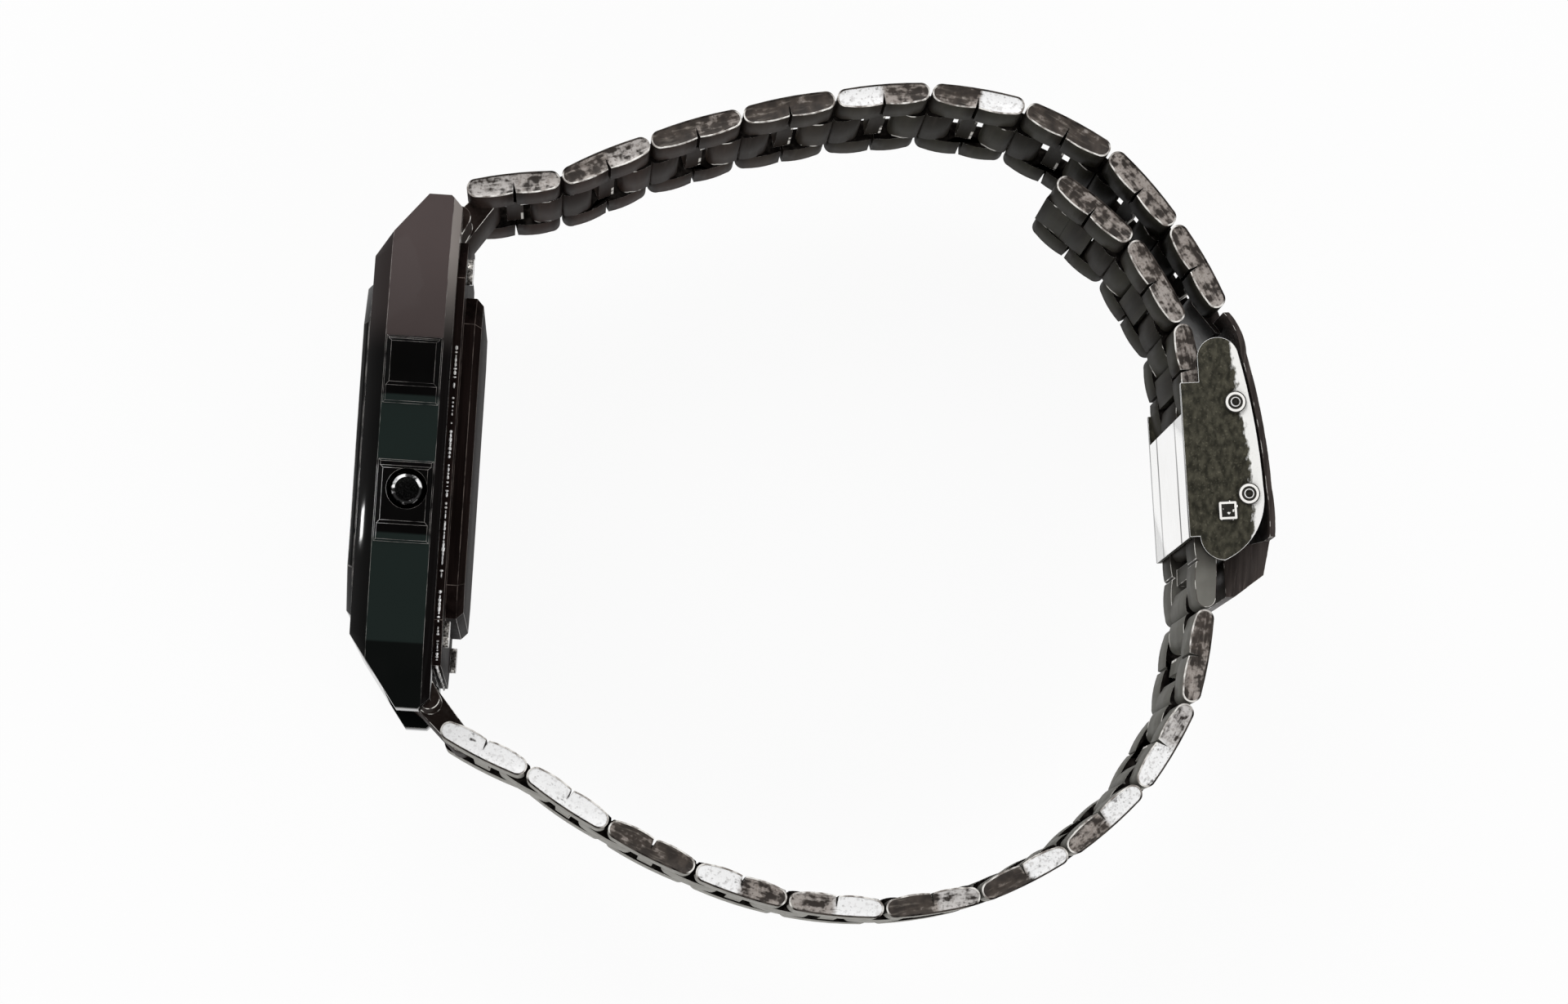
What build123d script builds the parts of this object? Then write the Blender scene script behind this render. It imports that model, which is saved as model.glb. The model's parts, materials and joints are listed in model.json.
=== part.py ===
# A digital watch on its bracelet of folded sheet links, lying on its side.
# X runs from the face to the clasp, Y from 6 to 12 o'clock, Z from 9 to 3 o'clock.
# The origin is the middle of the back cover's outer face. All sizes are millimetres.
import os
from math import atan2, cos, degrees, radians, sin

from build123d import *

# Case, seen from the front and from the side
case_length = 36.8
case_width = 32.4
case_depth = 5.9
facet_start_inset = 10.9
facet_end_inset = 4.5
facet_end_narrowing = 1.1
lug_end_narrowing = 3.8
front_flat_inset = 4.9
front_slope_depth = 3.5
front_bevel_depth = 1.25
front_bevel_width = 1.8
back_bevel = 0.6
lug_chamfer = 0.8

# Proud blocks on both long sides, each on a low step
block_height = 0.5
block_chamfer = 0.35
block_margin = 0.1
upper_block_length = 3.6
upper_block_middle = 5.6
lower_block_length = 4.4
lower_block_middle = -3.8
step_height = 0.2
upper_step_length = 4.8
upper_step_middle = 5.1
lower_step_length = 5.8
lower_step_middle = -4.2

# Back cover with its raised middle
cover_plate_thickness = 0.6
cover_end_margin = 3.2
cover_side_margin = 2.0
cover_plate_corner = 3.0
cover_raise = 1.3
cover_raise_end_margin = 3.6
cover_raise_side_margin = 3.2
cover_raise_corner = 2.2
cover_raise_chamfer = 0.5
cover_wall = 0.55

# Room inside the case
end_wall = 7.2
side_wall = 4.1
front_wall = 0.9
fit_gap = 0.1

# Bezel, crystal and gasket
bezel_end_margin = 6.4
bezel_side_margin = 2.8
bezel_corner = 3.2
bezel_seat_depth = 0.25
bezel_proud = 0.5
bezel_chamfer = 0.4
bezel_end_rim = 2.4
bezel_side_rim = 2.3
crystal_corner = 2.0
crystal_thickness = 0.65
crystal_gasket_thickness = 0.1
crystal_gasket_width = 1.1

# Movement
dial_thickness = 0.3
display_end_margin = 5.2
display_side_margin = 2.1
display_middle = -1.0
display_thickness = 1.0
display_rim = 1.7
display_side_rim = 1.0
backlight_thickness = 0.4
backlight_inset = 1.5
contact_strip_width = 1.0
contact_strip_height = 1.0
board_thickness = 0.6
board_end_margin = 0.9
board_side_margin = 1.6
pocket_gap = 0.05
cell_radius = 10.0
cell_thickness = 1.6
cell_edge = 0.2
strap_thickness = 0.2
strap_width = 4.0
strap_overhang = 0.5
sounder_radius = 7.5
sounder_thickness = 0.25

# Back gasket and corner screws
gasket_offset = 0.2
gasket_width = 0.5
gasket_thickness = 0.35
screw_end_inset = 2.2
screw_side_inset = 2.4
screw_head_radius = 0.95
screw_head_height = 0.5
screw_shank_radius = 0.5
screw_shank_length = 2.6
screw_slot_width = 0.25
screw_slot_depth = 0.2
screw_hole_gap = 0.05

# Spring bars between the lugs
lug_side_gap = 0.2
lug_gap_reach = 1.15
lug_gap_depth = 3.5
spring_bar_depth = 1.0
spring_bar_inset = 1.9
spring_bar_radius = 0.65
spring_bar_tip_radius = 0.4
spring_bar_tip_length = 0.8
pin_gap = 0.03

# Buttons
button_depth = 4.35
light_button_middle = -3.35
mode_button_middle = -3.35
adjust_button_middle = 5.6
button_head_radius = 1.1
button_head_height = 0.6
button_head_chamfer = 0.15
button_sink = 0.1
button_well_radius = 1.45
button_well_depth = 2.2
button_stem_radius = 0.5
button_stem_reach = 0.55
button_travel = 0.4
button_room = 1.3
stem_clip_radius = 0.95
stem_clip_thickness = 0.25
stem_clip_gap = 0.1
seal_radius = 0.95
seal_length = 0.45
seal_depth = 0.6
coil_radius = 0.84
coil_wire_radius = 0.12
coil_turns = 3

# Folded links: two side plates joined by a bridge, and a centre link
link_pitch = 6.95
band_width = 18.0
link_thickness = 1.6
plate_width = 4.6
link_end_gap = 0.16
outer_crown = 0.12
seam_depth = 0.2
seam_width = 0.24
centre_pin_spacing = 3.1
centre_side_gap = 0.12
bridge_width = 1.2
bridge_thickness = 1.1
pin_radius = 0.35
pin_end_wall = 1.3
root_eye_radius = 1.05
root_shoulder = 1.2

# Directions of the links at rest, in degrees from X
upper_root_angle = 52
upper_root_reach = 4.15
upper_angles = (10, 26.5, 20, 14.5, 8.5, -6, -24.5, -46, -57.5)
lower_root_angle = -47
lower_root_reach = 4.7
lower_angles = (-23.5, -30.5, -23.5, -15, -2, 12, 30, 44.5, 62.5, 83)
held_angles = (94, 96.5)
tail_angles = (103, 124, 143)

# Clasp frame, with u out from the wrist and v along the band
clasp_sheet = 0.5
clasp_side_gap = 0.15
clasp_floor_sheet = 0.3
clasp_floor_gap = 0.15
clasp_floor_start = -1.8
clasp_floor_end = 7.2
clasp_rail_end = 9.4
clasp_shoulder_u = 0.1
clasp_shoulder_v = 11.2
clasp_crest_u = 1.75
clasp_crest_v = 12.6
clasp_brow_u = 3.1
clasp_brow_v = 11.3
clasp_flank_u = 4.0
clasp_flank_v = 5.9
clasp_belly_u = 4.3
clasp_belly_v = 1.4
clasp_jaw_u = 3.4
clasp_jaw_v = -1.9
clasp_chin_u = 1.2
clasp_chin_v = -3.6
clasp_throat_u = 0.05
clasp_throat_v = -3.1
clasp_heel_u = -0.5

# Cross bars of the clasp and their riveted heads
bar_radius = 0.55
rivet_radius = 0.8
rivet_height = 0.25
upper_bar_u = 2.65
upper_bar_v = 7.8
lower_bar_u = 3.2
lower_bar_v = 1.1
square_bar_u = 1.6
square_bar_v = -0.05
square_bar_side = 0.9
square_rivet_side = 1.5
square_rivet_round = 0.4

# Hinged clasp cover and lock plate
cover_sheet = 0.4
cover_gap = 0.22
cover_start_u = 2.0
cover_start_v = 14.4
cover_bend_u = 2.85
cover_bend_v = 12.9
cover_tail_u = 4.3
cover_tail_v = -2.1
cover_tail_bow = 0.1
lip_half_width = 7.0
lip_inner_u = 1.45
lip_top_v = -4.0
lip_bottom_v = -6.05
lip_toe_u = 2.1
lip_side_v = -4.6
neck_radius = 0.4
lock_plate_radius = 0.3
lock_plate_half_width = 7.5
lock_plate_tip_u = 1.75
lock_plate_tip_v = 2.2
lock_plate_root_u = 2.3
lock_plate_root_v = 7.5
lock_eye_radius = 1.0

# Lengths and widths that follow the case
case_half = case_length / 2
facet_start_half = case_half - facet_start_inset
facet_end_half = case_half - facet_end_inset
facet_end_width = case_width - 2 * facet_end_narrowing
lug_end_width = case_width - 2 * lug_end_narrowing
front_flat_half = case_half - front_flat_inset
cover_plate_length = case_length - 2 * cover_end_margin
cover_plate_width = case_width - 2 * cover_side_margin
cover_raise_length = cover_plate_length - 2 * cover_raise_end_margin
cover_raise_width = cover_plate_width - 2 * cover_raise_side_margin
screw_half_length = cover_plate_length / 2 - screw_end_inset
screw_half_width = cover_plate_width / 2 - screw_side_inset
cavity_length = case_length - 2 * end_wall
cavity_width = case_width - 2 * side_wall
bezel_length = case_length - 2 * bezel_end_margin
bezel_width = case_width - 2 * bezel_side_margin
crystal_length = bezel_length - 2 * bezel_end_rim
crystal_width = bezel_width - 2 * bezel_side_rim
window_length = crystal_length - 2 * crystal_gasket_width
window_width = crystal_width - 2 * crystal_gasket_width
display_length = cavity_length - 2 * display_end_margin
display_width = cavity_width - 2 * display_side_margin
display_window_length = display_length - 2 * display_rim
display_window_width = display_width - 2 * display_side_rim
backlight_length = display_length - 2 * backlight_inset
board_length = cavity_length - 2 * board_end_margin
board_width = cavity_width - 2 * board_side_margin
strap_length = 2 * (cell_radius + strap_overhang)
spring_bar_half = case_half - spring_bar_inset
lug_gap_start = spring_bar_half - lug_gap_reach
lug_gap_width = band_width + 2 * lug_side_gap

# Levels along X, from the back cover's outer face to the front
cover_plate_back = -cover_raise
case_back = cover_plate_back - cover_plate_thickness
case_front = case_back - case_depth
cavity_front = case_front + front_wall
bezel_seat = case_front + bezel_seat_depth
bezel_front = case_front - bezel_proud
crystal_back = bezel_seat - crystal_gasket_thickness
dial_back = cavity_front + dial_thickness
display_back = dial_back + display_thickness
backlight_back = display_back + backlight_thickness
board_front = display_back + contact_strip_height
board_back = board_front + board_thickness
cell_back = board_back + cell_thickness
strap_back = cell_back + strap_thickness
spring_bar_x = case_back - spring_bar_depth
sounder_back = -cover_wall

# Levels along Z, from the middle out to the case side
block_side = case_width / 2 + block_height
cavity_side = cavity_width / 2
well_floor = block_side - button_well_depth
head_top = block_side - button_sink
head_bottom = head_top - button_head_height
stem_end = cavity_side - button_stem_reach
pocket_side = stem_end - button_travel - fit_gap
plate_side = band_width / 2
plate_inside = plate_side - plate_width
centre_side = plate_inside - centre_side_gap
frame_inside = plate_side + clasp_side_gap
frame_side = frame_inside + clasp_sheet
pin_side = plate_side - pin_end_wall

# Lengths along a link
end_radius = link_thickness / 2
link_pin_spacing = link_pitch - centre_pin_spacing
plate_reach = centre_pin_spacing / 2 - link_end_gap / 2
rail_u = -end_radius - clasp_floor_gap - clasp_floor_sheet


def step_from(point, angle, distance):
    """The point at a distance from another, in a direction in the XY plane."""
    x, y = point
    return (x + distance * cos(radians(angle)), y + distance * sin(radians(angle)))


def chain(first_pin, angles):
    """The start pin and end pin of each link in a row."""
    pins = []
    start = first_pin
    for i, angle in enumerate(angles):
        end = step_from(start, angle, link_pin_spacing)
        pins.append((start, end))
        if i + 1 < len(angles):
            start = step_from(end, (angle + angles[i + 1]) / 2, centre_pin_spacing)
    return pins


def flat_at(point, angle, level):
    """A plane square to Z whose own x runs in a direction of the band."""
    x, y = point
    return Plane((x, y, level), x_dir=(cos(radians(angle)), sin(radians(angle)), 0), z_dir=(0, 0, 1))


def facing(level):
    """A plane square to X, whose own x runs along Y and own y along Z."""
    return Plane((level, 0, 0), x_dir=(0, 1, 0), z_dir=(1, 0, 0))


def side_plane(button_middle, side, level):
    """A plane square to Z at a button, facing out of the case on its side."""
    return Plane((-button_depth, button_middle, side * level), x_dir=(1, 0, 0), z_dir=(0, 0, side))


def save(part, name):
    """Write one finished piece under its node name."""
    part.label = name
    export_step(part, f"parts/{name}.step")


lower_run_angles = lower_angles + held_angles + tail_angles
upper_bar = (spring_bar_x, spring_bar_half)
lower_bar = (spring_bar_x, -spring_bar_half)
upper_pins = chain(step_from(upper_bar, upper_root_angle, upper_root_reach), upper_angles)
lower_pins = chain(step_from(lower_bar, lower_root_angle, lower_root_reach), lower_run_angles)
held_first = len(lower_angles)
tail_first = held_first + len(held_angles)
clasp_angle = held_angles[1] - 90
clasp_origin = step_from(lower_pins[held_first + 1][0], held_angles[1], -centre_pin_spacing / 2)
cover_pin = upper_pins[-1][1]
button_sites = (
    ("light_button", light_button_middle, 1),
    ("mode_button", mode_button_middle, -1),
    ("adjust_button", adjust_button_middle, -1),
)
bar_points = ((upper_bar_u, upper_bar_v), (lower_bar_u, lower_bar_v))

os.makedirs("parts", exist_ok=True)


# Outlines used by several pieces
def box_outline(x_low, x_high, y_low, y_high):
    """Draw a rectangle between two pairs of edges."""
    with Locations(((x_low + x_high) / 2, (y_low + y_high) / 2)):
        Rectangle(x_high - x_low, y_high - y_low)


def cut_corner_outline(length, width, corner):
    """Draw a rectangle with its four corners cut off."""
    half_length = length / 2
    half_width = width / 2
    quarter = [(half_length, half_width - corner), (half_length - corner, half_width)]
    points = quarter
    points = points + [(-y, z) for y, z in reversed(quarter)]
    points = points + [(-y, -z) for y, z in quarter]
    points = points + [(y, -z) for y, z in reversed(quarter)]
    with BuildLine() as outline:
        Polyline(*points, close=True)
    make_face(outline.edges())


def case_outline():
    """Draw the case as seen from the front, with its facets and lug ends."""
    quarter = [
        (case_half, lug_end_width / 2),
        (facet_end_half, facet_end_width / 2),
        (facet_start_half, case_width / 2),
    ]
    points = quarter
    points = points + [(-y, z) for y, z in reversed(quarter)]
    points = points + [(-y, -z) for y, z in quarter]
    points = points + [(y, -z) for y, z in reversed(quarter)]
    with BuildLine() as outline:
        Polyline(*points, close=True)
    make_face(outline.edges())


def case_profile():
    """Draw the case as seen from the side, sloping at both ends of the front."""
    half = [
        (case_front, front_flat_half),
        (case_front + front_slope_depth, case_half),
        (case_back - lug_chamfer, case_half),
        (case_back, case_half - lug_chamfer),
    ]
    with BuildLine() as outline:
        Polyline(*half, *[(x, -y) for x, y in reversed(half)], close=True)
    make_face(outline.edges())


def gasket_outline():
    """Draw the square ring of the back gasket and its groove."""
    length = cavity_length + 2 * gasket_offset
    width = cavity_width + 2 * gasket_offset
    Rectangle(length + 2 * gasket_width, width + 2 * gasket_width)
    Rectangle(length, width, mode=Mode.SUBTRACT)


# Case
with BuildPart() as case_body:
    with BuildSketch(facing(case_back - back_bevel)):
        case_outline()
    extrude(amount=front_bevel_depth + back_bevel - case_depth)
    extrude(faces().sort_by(Axis.X)[-1], amount=back_bevel, taper=45)
    front_taper = degrees(atan2(front_bevel_width, front_bevel_depth))
    extrude(faces().sort_by(Axis.X)[0], amount=front_bevel_depth, taper=front_taper)
    block_taper = degrees(atan2(block_chamfer, block_height))
    block_front = case_front + front_bevel_depth + block_margin
    block_back = case_back - back_bevel - block_margin
    for side in (-1, 1):
        for length, middle, height in (
            (upper_step_length, upper_step_middle, step_height),
            (lower_step_length, lower_step_middle, step_height),
            (upper_block_length, upper_block_middle, block_height),
            (lower_block_length, lower_block_middle, block_height),
        ):
            with BuildSketch(Plane((0, 0, side * case_width / 2), x_dir=(1, 0, 0), z_dir=(0, 0, side))):
                box_outline(block_front, block_back, side * middle - length / 2, side * middle + length / 2)
            extrude(amount=height, taper=block_taper)
    with BuildSketch(Plane.XY):
        case_profile()
    extrude(amount=block_side, both=True, mode=Mode.INTERSECT)
    for end in (-1, 1):
        with BuildSketch(Plane.XY):
            near, far = sorted((end * lug_gap_start, end * case_length))
            box_outline(case_back - lug_gap_depth, case_back + lug_gap_depth, near, far)
        extrude(amount=lug_gap_width / 2, both=True, mode=Mode.SUBTRACT)
    with BuildSketch(Plane.XY):
        with Locations(upper_bar, lower_bar):
            Circle(spring_bar_tip_radius + pin_gap)
    extrude(amount=lug_gap_width / 2 + spring_bar_tip_length + fit_gap, both=True, mode=Mode.SUBTRACT)
    with BuildSketch(facing(case_back)):
        Rectangle(cavity_length, cavity_width)
    extrude(amount=cavity_front - case_back, mode=Mode.SUBTRACT)
    with BuildSketch(facing(cavity_front)):
        Rectangle(window_length, window_width)
    extrude(amount=-front_wall, mode=Mode.SUBTRACT)
    with BuildSketch(facing(bezel_seat)):
        cut_corner_outline(bezel_length + fit_gap, bezel_width + fit_gap, bezel_corner)
    extrude(amount=-bezel_seat_depth, mode=Mode.SUBTRACT)
    with BuildSketch(facing(case_back)):
        gasket_outline()
    extrude(amount=-gasket_thickness, mode=Mode.SUBTRACT)
    with BuildSketch(facing(case_back)):
        with GridLocations(2 * screw_half_length, 2 * screw_half_width, 2, 2):
            Circle(screw_shank_radius + screw_hole_gap)
    extrude(amount=-screw_shank_length, mode=Mode.SUBTRACT)
    for name, middle, side in button_sites:
        with BuildSketch(side_plane(middle, side, block_side)):
            Circle(button_well_radius)
        extrude(amount=-button_well_depth, mode=Mode.SUBTRACT)
        with BuildSketch(side_plane(middle, side, well_floor)):
            Circle(button_stem_radius + pin_gap)
        extrude(amount=cavity_side - well_floor, mode=Mode.SUBTRACT)
        with BuildSketch(side_plane(middle, side, well_floor - seal_depth)):
            Circle(seal_radius)
        extrude(amount=-seal_length, mode=Mode.SUBTRACT)
save(case_body.part, "case_body")

# Front: bezel, crystal and gasket
with BuildPart() as front_bezel:
    with BuildSketch(facing(bezel_seat)):
        cut_corner_outline(bezel_length, bezel_width, bezel_corner)
    extrude(amount=bezel_front - bezel_seat)
    chamfer(faces().sort_by(Axis.X)[0].edges(), bezel_chamfer)
    with BuildSketch(facing(bezel_seat)):
        cut_corner_outline(crystal_length + fit_gap, crystal_width + fit_gap, crystal_corner)
    extrude(amount=bezel_front - bezel_seat, mode=Mode.SUBTRACT)
save(front_bezel.part, "front_bezel")

with BuildPart() as crystal:
    with BuildSketch(facing(crystal_back)):
        cut_corner_outline(crystal_length, crystal_width, crystal_corner)
    extrude(amount=-crystal_thickness)
save(crystal.part, "crystal")

with BuildPart() as crystal_gasket:
    with BuildSketch(facing(bezel_seat)):
        cut_corner_outline(crystal_length, crystal_width, crystal_corner)
        Rectangle(window_length, window_width, mode=Mode.SUBTRACT)
    extrude(amount=-crystal_gasket_thickness)
save(crystal_gasket.part, "crystal_gasket")

# Movement, from the dial to the sounder
with BuildPart() as dial_plate:
    with BuildSketch(facing(dial_back)):
        Rectangle(cavity_length - 2 * fit_gap, cavity_width - 2 * fit_gap)
        with Locations((display_middle, 0)):
            Rectangle(display_window_length, display_window_width, mode=Mode.SUBTRACT)
    extrude(amount=-dial_thickness)
save(dial_plate.part, "dial_plate")

with BuildPart() as display_panel:
    with BuildSketch(facing(display_back)):
        with Locations((display_middle, 0)):
            Rectangle(display_length, display_width)
    extrude(amount=-display_thickness)
save(display_panel.part, "display_panel")

with BuildPart() as backlight_panel:
    with BuildSketch(facing(backlight_back)):
        with Locations((display_middle, 0)):
            Rectangle(backlight_length, display_width)
    extrude(amount=-backlight_thickness)
save(backlight_panel.part, "backlight_panel")

with BuildPart() as contact_strips:
    with BuildSketch(facing(board_front)):
        with Locations((display_middle, 0)):
            with GridLocations(display_length - contact_strip_width, 0, 2, 1):
                Rectangle(contact_strip_width, display_width)
    extrude(amount=-contact_strip_height)
save(contact_strips.part, "contact_strips")

with BuildPart() as circuit_board:
    with BuildSketch(facing(board_back)):
        Rectangle(board_length, board_width)
    extrude(amount=-board_thickness)
save(circuit_board.part, "circuit_board")


def button_pockets():
    """Cut room for the inner end of each button out of the piece being built."""
    for name, middle, side in button_sites:
        with BuildSketch(side_plane(middle, side, pocket_side)) as pocket:
            Rectangle(2 * button_room, 2 * button_room)
        extrude(pocket.sketch, amount=cavity_side - pocket_side, mode=Mode.SUBTRACT)


with BuildPart() as module_frame:
    with BuildSketch(facing(board_back)):
        Rectangle(cavity_length - 2 * fit_gap, cavity_width - 2 * fit_gap)
    extrude(amount=dial_back - board_back)
    with BuildSketch(facing(board_front)):
        with Locations((display_middle, 0)):
            Rectangle(display_length + 2 * pocket_gap, display_width + 2 * pocket_gap)
    extrude(amount=dial_back - board_front, mode=Mode.SUBTRACT)
    with BuildSketch(facing(board_back)):
        Rectangle(board_length + 2 * pocket_gap, board_width + 2 * pocket_gap)
    extrude(amount=-board_thickness, mode=Mode.SUBTRACT)
    button_pockets()
save(module_frame.part, "module_frame")

with BuildPart() as cell_holder:
    with BuildSketch(facing(cell_back)):
        Rectangle(cavity_length - 2 * fit_gap, cavity_width - 2 * fit_gap)
        Circle(cell_radius + pocket_gap, mode=Mode.SUBTRACT)
    extrude(amount=-cell_thickness)
    button_pockets()
save(cell_holder.part, "cell_holder")

with BuildPart() as battery_cell:
    with BuildSketch(facing(cell_back)):
        Circle(cell_radius)
    extrude(amount=-cell_thickness)
    chamfer(edges(), cell_edge)
save(battery_cell.part, "battery_cell")

with BuildPart() as cell_strap:
    with BuildSketch(facing(strap_back)):
        Rectangle(strap_length, strap_width)
    extrude(amount=-strap_thickness)
save(cell_strap.part, "cell_strap")

with BuildPart() as sounder_disc:
    with BuildSketch(facing(sounder_back)):
        Circle(sounder_radius)
    extrude(amount=-sounder_thickness)
save(sounder_disc.part, "sounder_disc")

# Back: gasket, cover and corner screws
with BuildPart() as back_gasket:
    with BuildSketch(facing(case_back)):
        gasket_outline()
    extrude(amount=-gasket_thickness)
save(back_gasket.part, "back_gasket")

with BuildPart() as back_cover:
    with BuildSketch(facing(case_back)):
        cut_corner_outline(cover_plate_length, cover_plate_width, cover_plate_corner)
    extrude(amount=cover_plate_thickness)
    with BuildSketch(facing(cover_plate_back)):
        cut_corner_outline(cover_raise_length, cover_raise_width, cover_raise_corner)
    extrude(amount=cover_raise)
    chamfer(faces().sort_by(Axis.X)[-1].edges(), cover_raise_chamfer)
    with BuildSketch(facing(case_back)):
        inner_length = cover_raise_length - 2 * cover_wall
        inner_width = cover_raise_width - 2 * cover_wall
        cut_corner_outline(inner_length, inner_width, cover_raise_corner)
    extrude(amount=sounder_back - case_back, mode=Mode.SUBTRACT)
    with BuildSketch(facing(case_back)):
        with GridLocations(2 * screw_half_length, 2 * screw_half_width, 2, 2):
            Circle(screw_shank_radius + screw_hole_gap)
    extrude(amount=cover_plate_thickness, mode=Mode.SUBTRACT)
save(back_cover.part, "back_cover")

with BuildPart() as back_screws:
    with BuildSketch(facing(cover_plate_back)):
        with GridLocations(2 * screw_half_length, 2 * screw_half_width, 2, 2):
            Circle(screw_head_radius)
    extrude(amount=screw_head_height)
    with BuildSketch(facing(cover_plate_back)):
        with GridLocations(2 * screw_half_length, 2 * screw_half_width, 2, 2):
            Circle(screw_shank_radius)
    extrude(amount=screw_hole_gap - screw_shank_length)
    with BuildSketch(facing(cover_plate_back + screw_head_height)):
        with GridLocations(2 * screw_half_length, 2 * screw_half_width, 2, 2):
            Rectangle(2 * screw_head_radius, screw_slot_width)
    extrude(amount=-screw_slot_depth, mode=Mode.SUBTRACT)
save(back_screws.part, "back_screws")


# Spring bars
def build_spring_bar(name, point):
    """A bar across the lug gap with a thin tip at each end."""
    with BuildPart() as spring_bar:
        with BuildSketch(flat_at(point, 0, 0)):
            Circle(spring_bar_radius)
        extrude(amount=lug_gap_width / 2 - fit_gap, both=True)
        with BuildSketch(flat_at(point, 0, 0)):
            Circle(spring_bar_tip_radius)
        extrude(amount=lug_gap_width / 2 + spring_bar_tip_length, both=True)
    save(spring_bar.part, name)


build_spring_bar("upper_spring_bar", upper_bar)
build_spring_bar("lower_spring_bar", lower_bar)


# Buttons, each with a return spring and a clip inside the case
def build_button(name, middle, side):
    """A push button with its stem, coil spring and retaining clip."""
    with BuildPart() as button:
        with BuildSketch(side_plane(middle, side, head_top)):
            Circle(button_head_radius)
        extrude(amount=-button_head_height)
        chamfer(faces().sort_by(Axis.Z)[-1 if side > 0 else 0].edges(), button_head_chamfer)
        with BuildSketch(side_plane(middle, side, head_bottom)):
            Circle(button_stem_radius)
        extrude(amount=stem_end - head_bottom)
    save(button.part, name)

    clip_level = cavity_side - stem_clip_gap
    with BuildPart() as stem_clip:
        with BuildSketch(side_plane(middle, side, clip_level)):
            Circle(stem_clip_radius)
            Circle(button_stem_radius + pin_gap, mode=Mode.SUBTRACT)
        extrude(amount=-stem_clip_thickness)
    save(stem_clip.part, f"{name}_clip")

    coil_base = well_floor + coil_wire_radius + pin_gap
    coil_height = head_bottom - well_floor - 2 * (coil_wire_radius + pin_gap)
    coil_centre = (-button_depth, middle, side * coil_base)
    with BuildPart() as coil:
        with BuildLine() as wire_path:
            Helix(coil_height / coil_turns, coil_height, coil_radius, coil_centre, (0, 0, side))
        with BuildSketch(Plane(wire_path.line @ 0, z_dir=wire_path.line % 0)):
            Circle(coil_wire_radius)
        sweep(path=wire_path.line)
    save(coil.part, f"{name}_spring")


for name, middle, side in button_sites:
    build_button(name, middle, side)

with BuildPart() as button_seals:
    for name, middle, side in button_sites:
        with BuildSketch(side_plane(middle, side, well_floor - seal_depth)):
            Circle(seal_radius)
            Circle(button_stem_radius + pin_gap, mode=Mode.SUBTRACT)
        extrude(amount=-seal_length)
save(button_seals.part, "button_seals")


# Bracelet
def folded_outline(spacing, reach, outer):
    """Draw a folded sheet link from the side: a full back and two lobes with a seam."""
    shoulder = end_radius - outer_crown
    start = shoulder - reach
    end = spacing + reach - shoulder
    middle = spacing / 2
    back = outer * shoulder
    belly = -outer * shoulder
    seam = seam_width / 2
    with BuildLine() as outline:
        ThreePointArc((start, back), (middle, outer * end_radius), (end, back))
        ThreePointArc((end, back), (end + shoulder, 0), (end, belly))
        ThreePointArc((end, belly), ((end + middle) / 2, -outer * end_radius), (middle + seam, belly))
        Line((middle + seam, belly), (middle, belly + outer * seam_depth))
        Line((middle, belly + outer * seam_depth), (middle - seam, belly))
        ThreePointArc((middle - seam, belly), ((start + middle) / 2, -outer * end_radius), (start, belly))
        ThreePointArc((start, belly), (start - shoulder, 0), (start, back))
    make_face(outline.edges())


def pin_circles(points, radius, half_length, mode):
    """Add or cut a row of pins across the band."""
    for point in points:
        with BuildSketch(flat_at(point, 0, 0)) as disc:
            Circle(radius)
        extrude(disc.sketch, amount=half_length, both=True, mode=mode)


def add_link(pins, angles, i, outer, has_centre, has_end_pin):
    """Add link i of a run to the piece being built: plates, bridge, centre link and pins."""
    start, end = pins[i]
    for side in (-1, 1):
        with BuildSketch(flat_at(start, angles[i], side * plate_side)) as plate:
            folded_outline(link_pin_spacing, plate_reach, outer)
        extrude(plate.sketch, amount=-side * plate_width)
    with BuildSketch(flat_at(start, angles[i], 0)) as bridge:
        low, high = sorted((outer * (end_radius - bridge_thickness), outer * (end_radius - outer_crown)))
        middle = link_pin_spacing / 2
        box_outline(middle - bridge_width / 2, middle + bridge_width / 2, low, high)
    extrude(bridge.sketch, amount=plate_inside, both=True)
    holes = [start, end]
    if has_centre:
        with BuildSketch(flat_at(end, (angles[i] + angles[i + 1]) / 2, 0)) as centre:
            folded_outline(centre_pin_spacing, end_radius, outer)
        extrude(centre.sketch, amount=centre_side, both=True)
        holes.append(pins[i + 1][0])
    pin_circles(holes, pin_radius + pin_gap, pin_side + pin_gap, Mode.SUBTRACT)
    pin_circles([start, end] if has_end_pin else [start], pin_radius, pin_side, Mode.ADD)


def build_root(name, bar, angle, reach):
    """The end piece that turns on a spring bar and carries the first link."""
    with BuildPart() as root:
        with BuildSketch(flat_at(bar, angle, 0)):
            Circle(root_eye_radius)
            with Locations((reach, 0)):
                Circle(end_radius)
            make_hull()
        extrude(amount=centre_side, both=True)
        with BuildSketch(flat_at(bar, angle, 0)):
            Circle(root_eye_radius)
            with Locations((root_shoulder, 0)):
                Circle(end_radius)
            make_hull()
        extrude(amount=plate_side, both=True)
        pin_circles([bar], spring_bar_radius + pin_gap, plate_side, Mode.SUBTRACT)
        pin_circles([step_from(bar, angle, reach)], pin_radius + pin_gap, plate_side, Mode.SUBTRACT)
    save(root.part, name)


build_root("upper_end_piece", upper_bar, upper_root_angle, upper_root_reach)
build_root("lower_end_piece", lower_bar, lower_root_angle, lower_root_reach)

for i in range(len(upper_angles)):
    last = i + 1 == len(upper_angles)
    with BuildPart() as link:
        add_link(upper_pins, upper_angles, i, 1, not last, not last)
    save(link.part, f"upper_link_{i + 1}")

for i in range(len(lower_angles)):
    with BuildPart() as link:
        add_link(lower_pins, lower_run_angles, i, -1, True, True)
    save(link.part, f"lower_link_{i + 1}")

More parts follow.
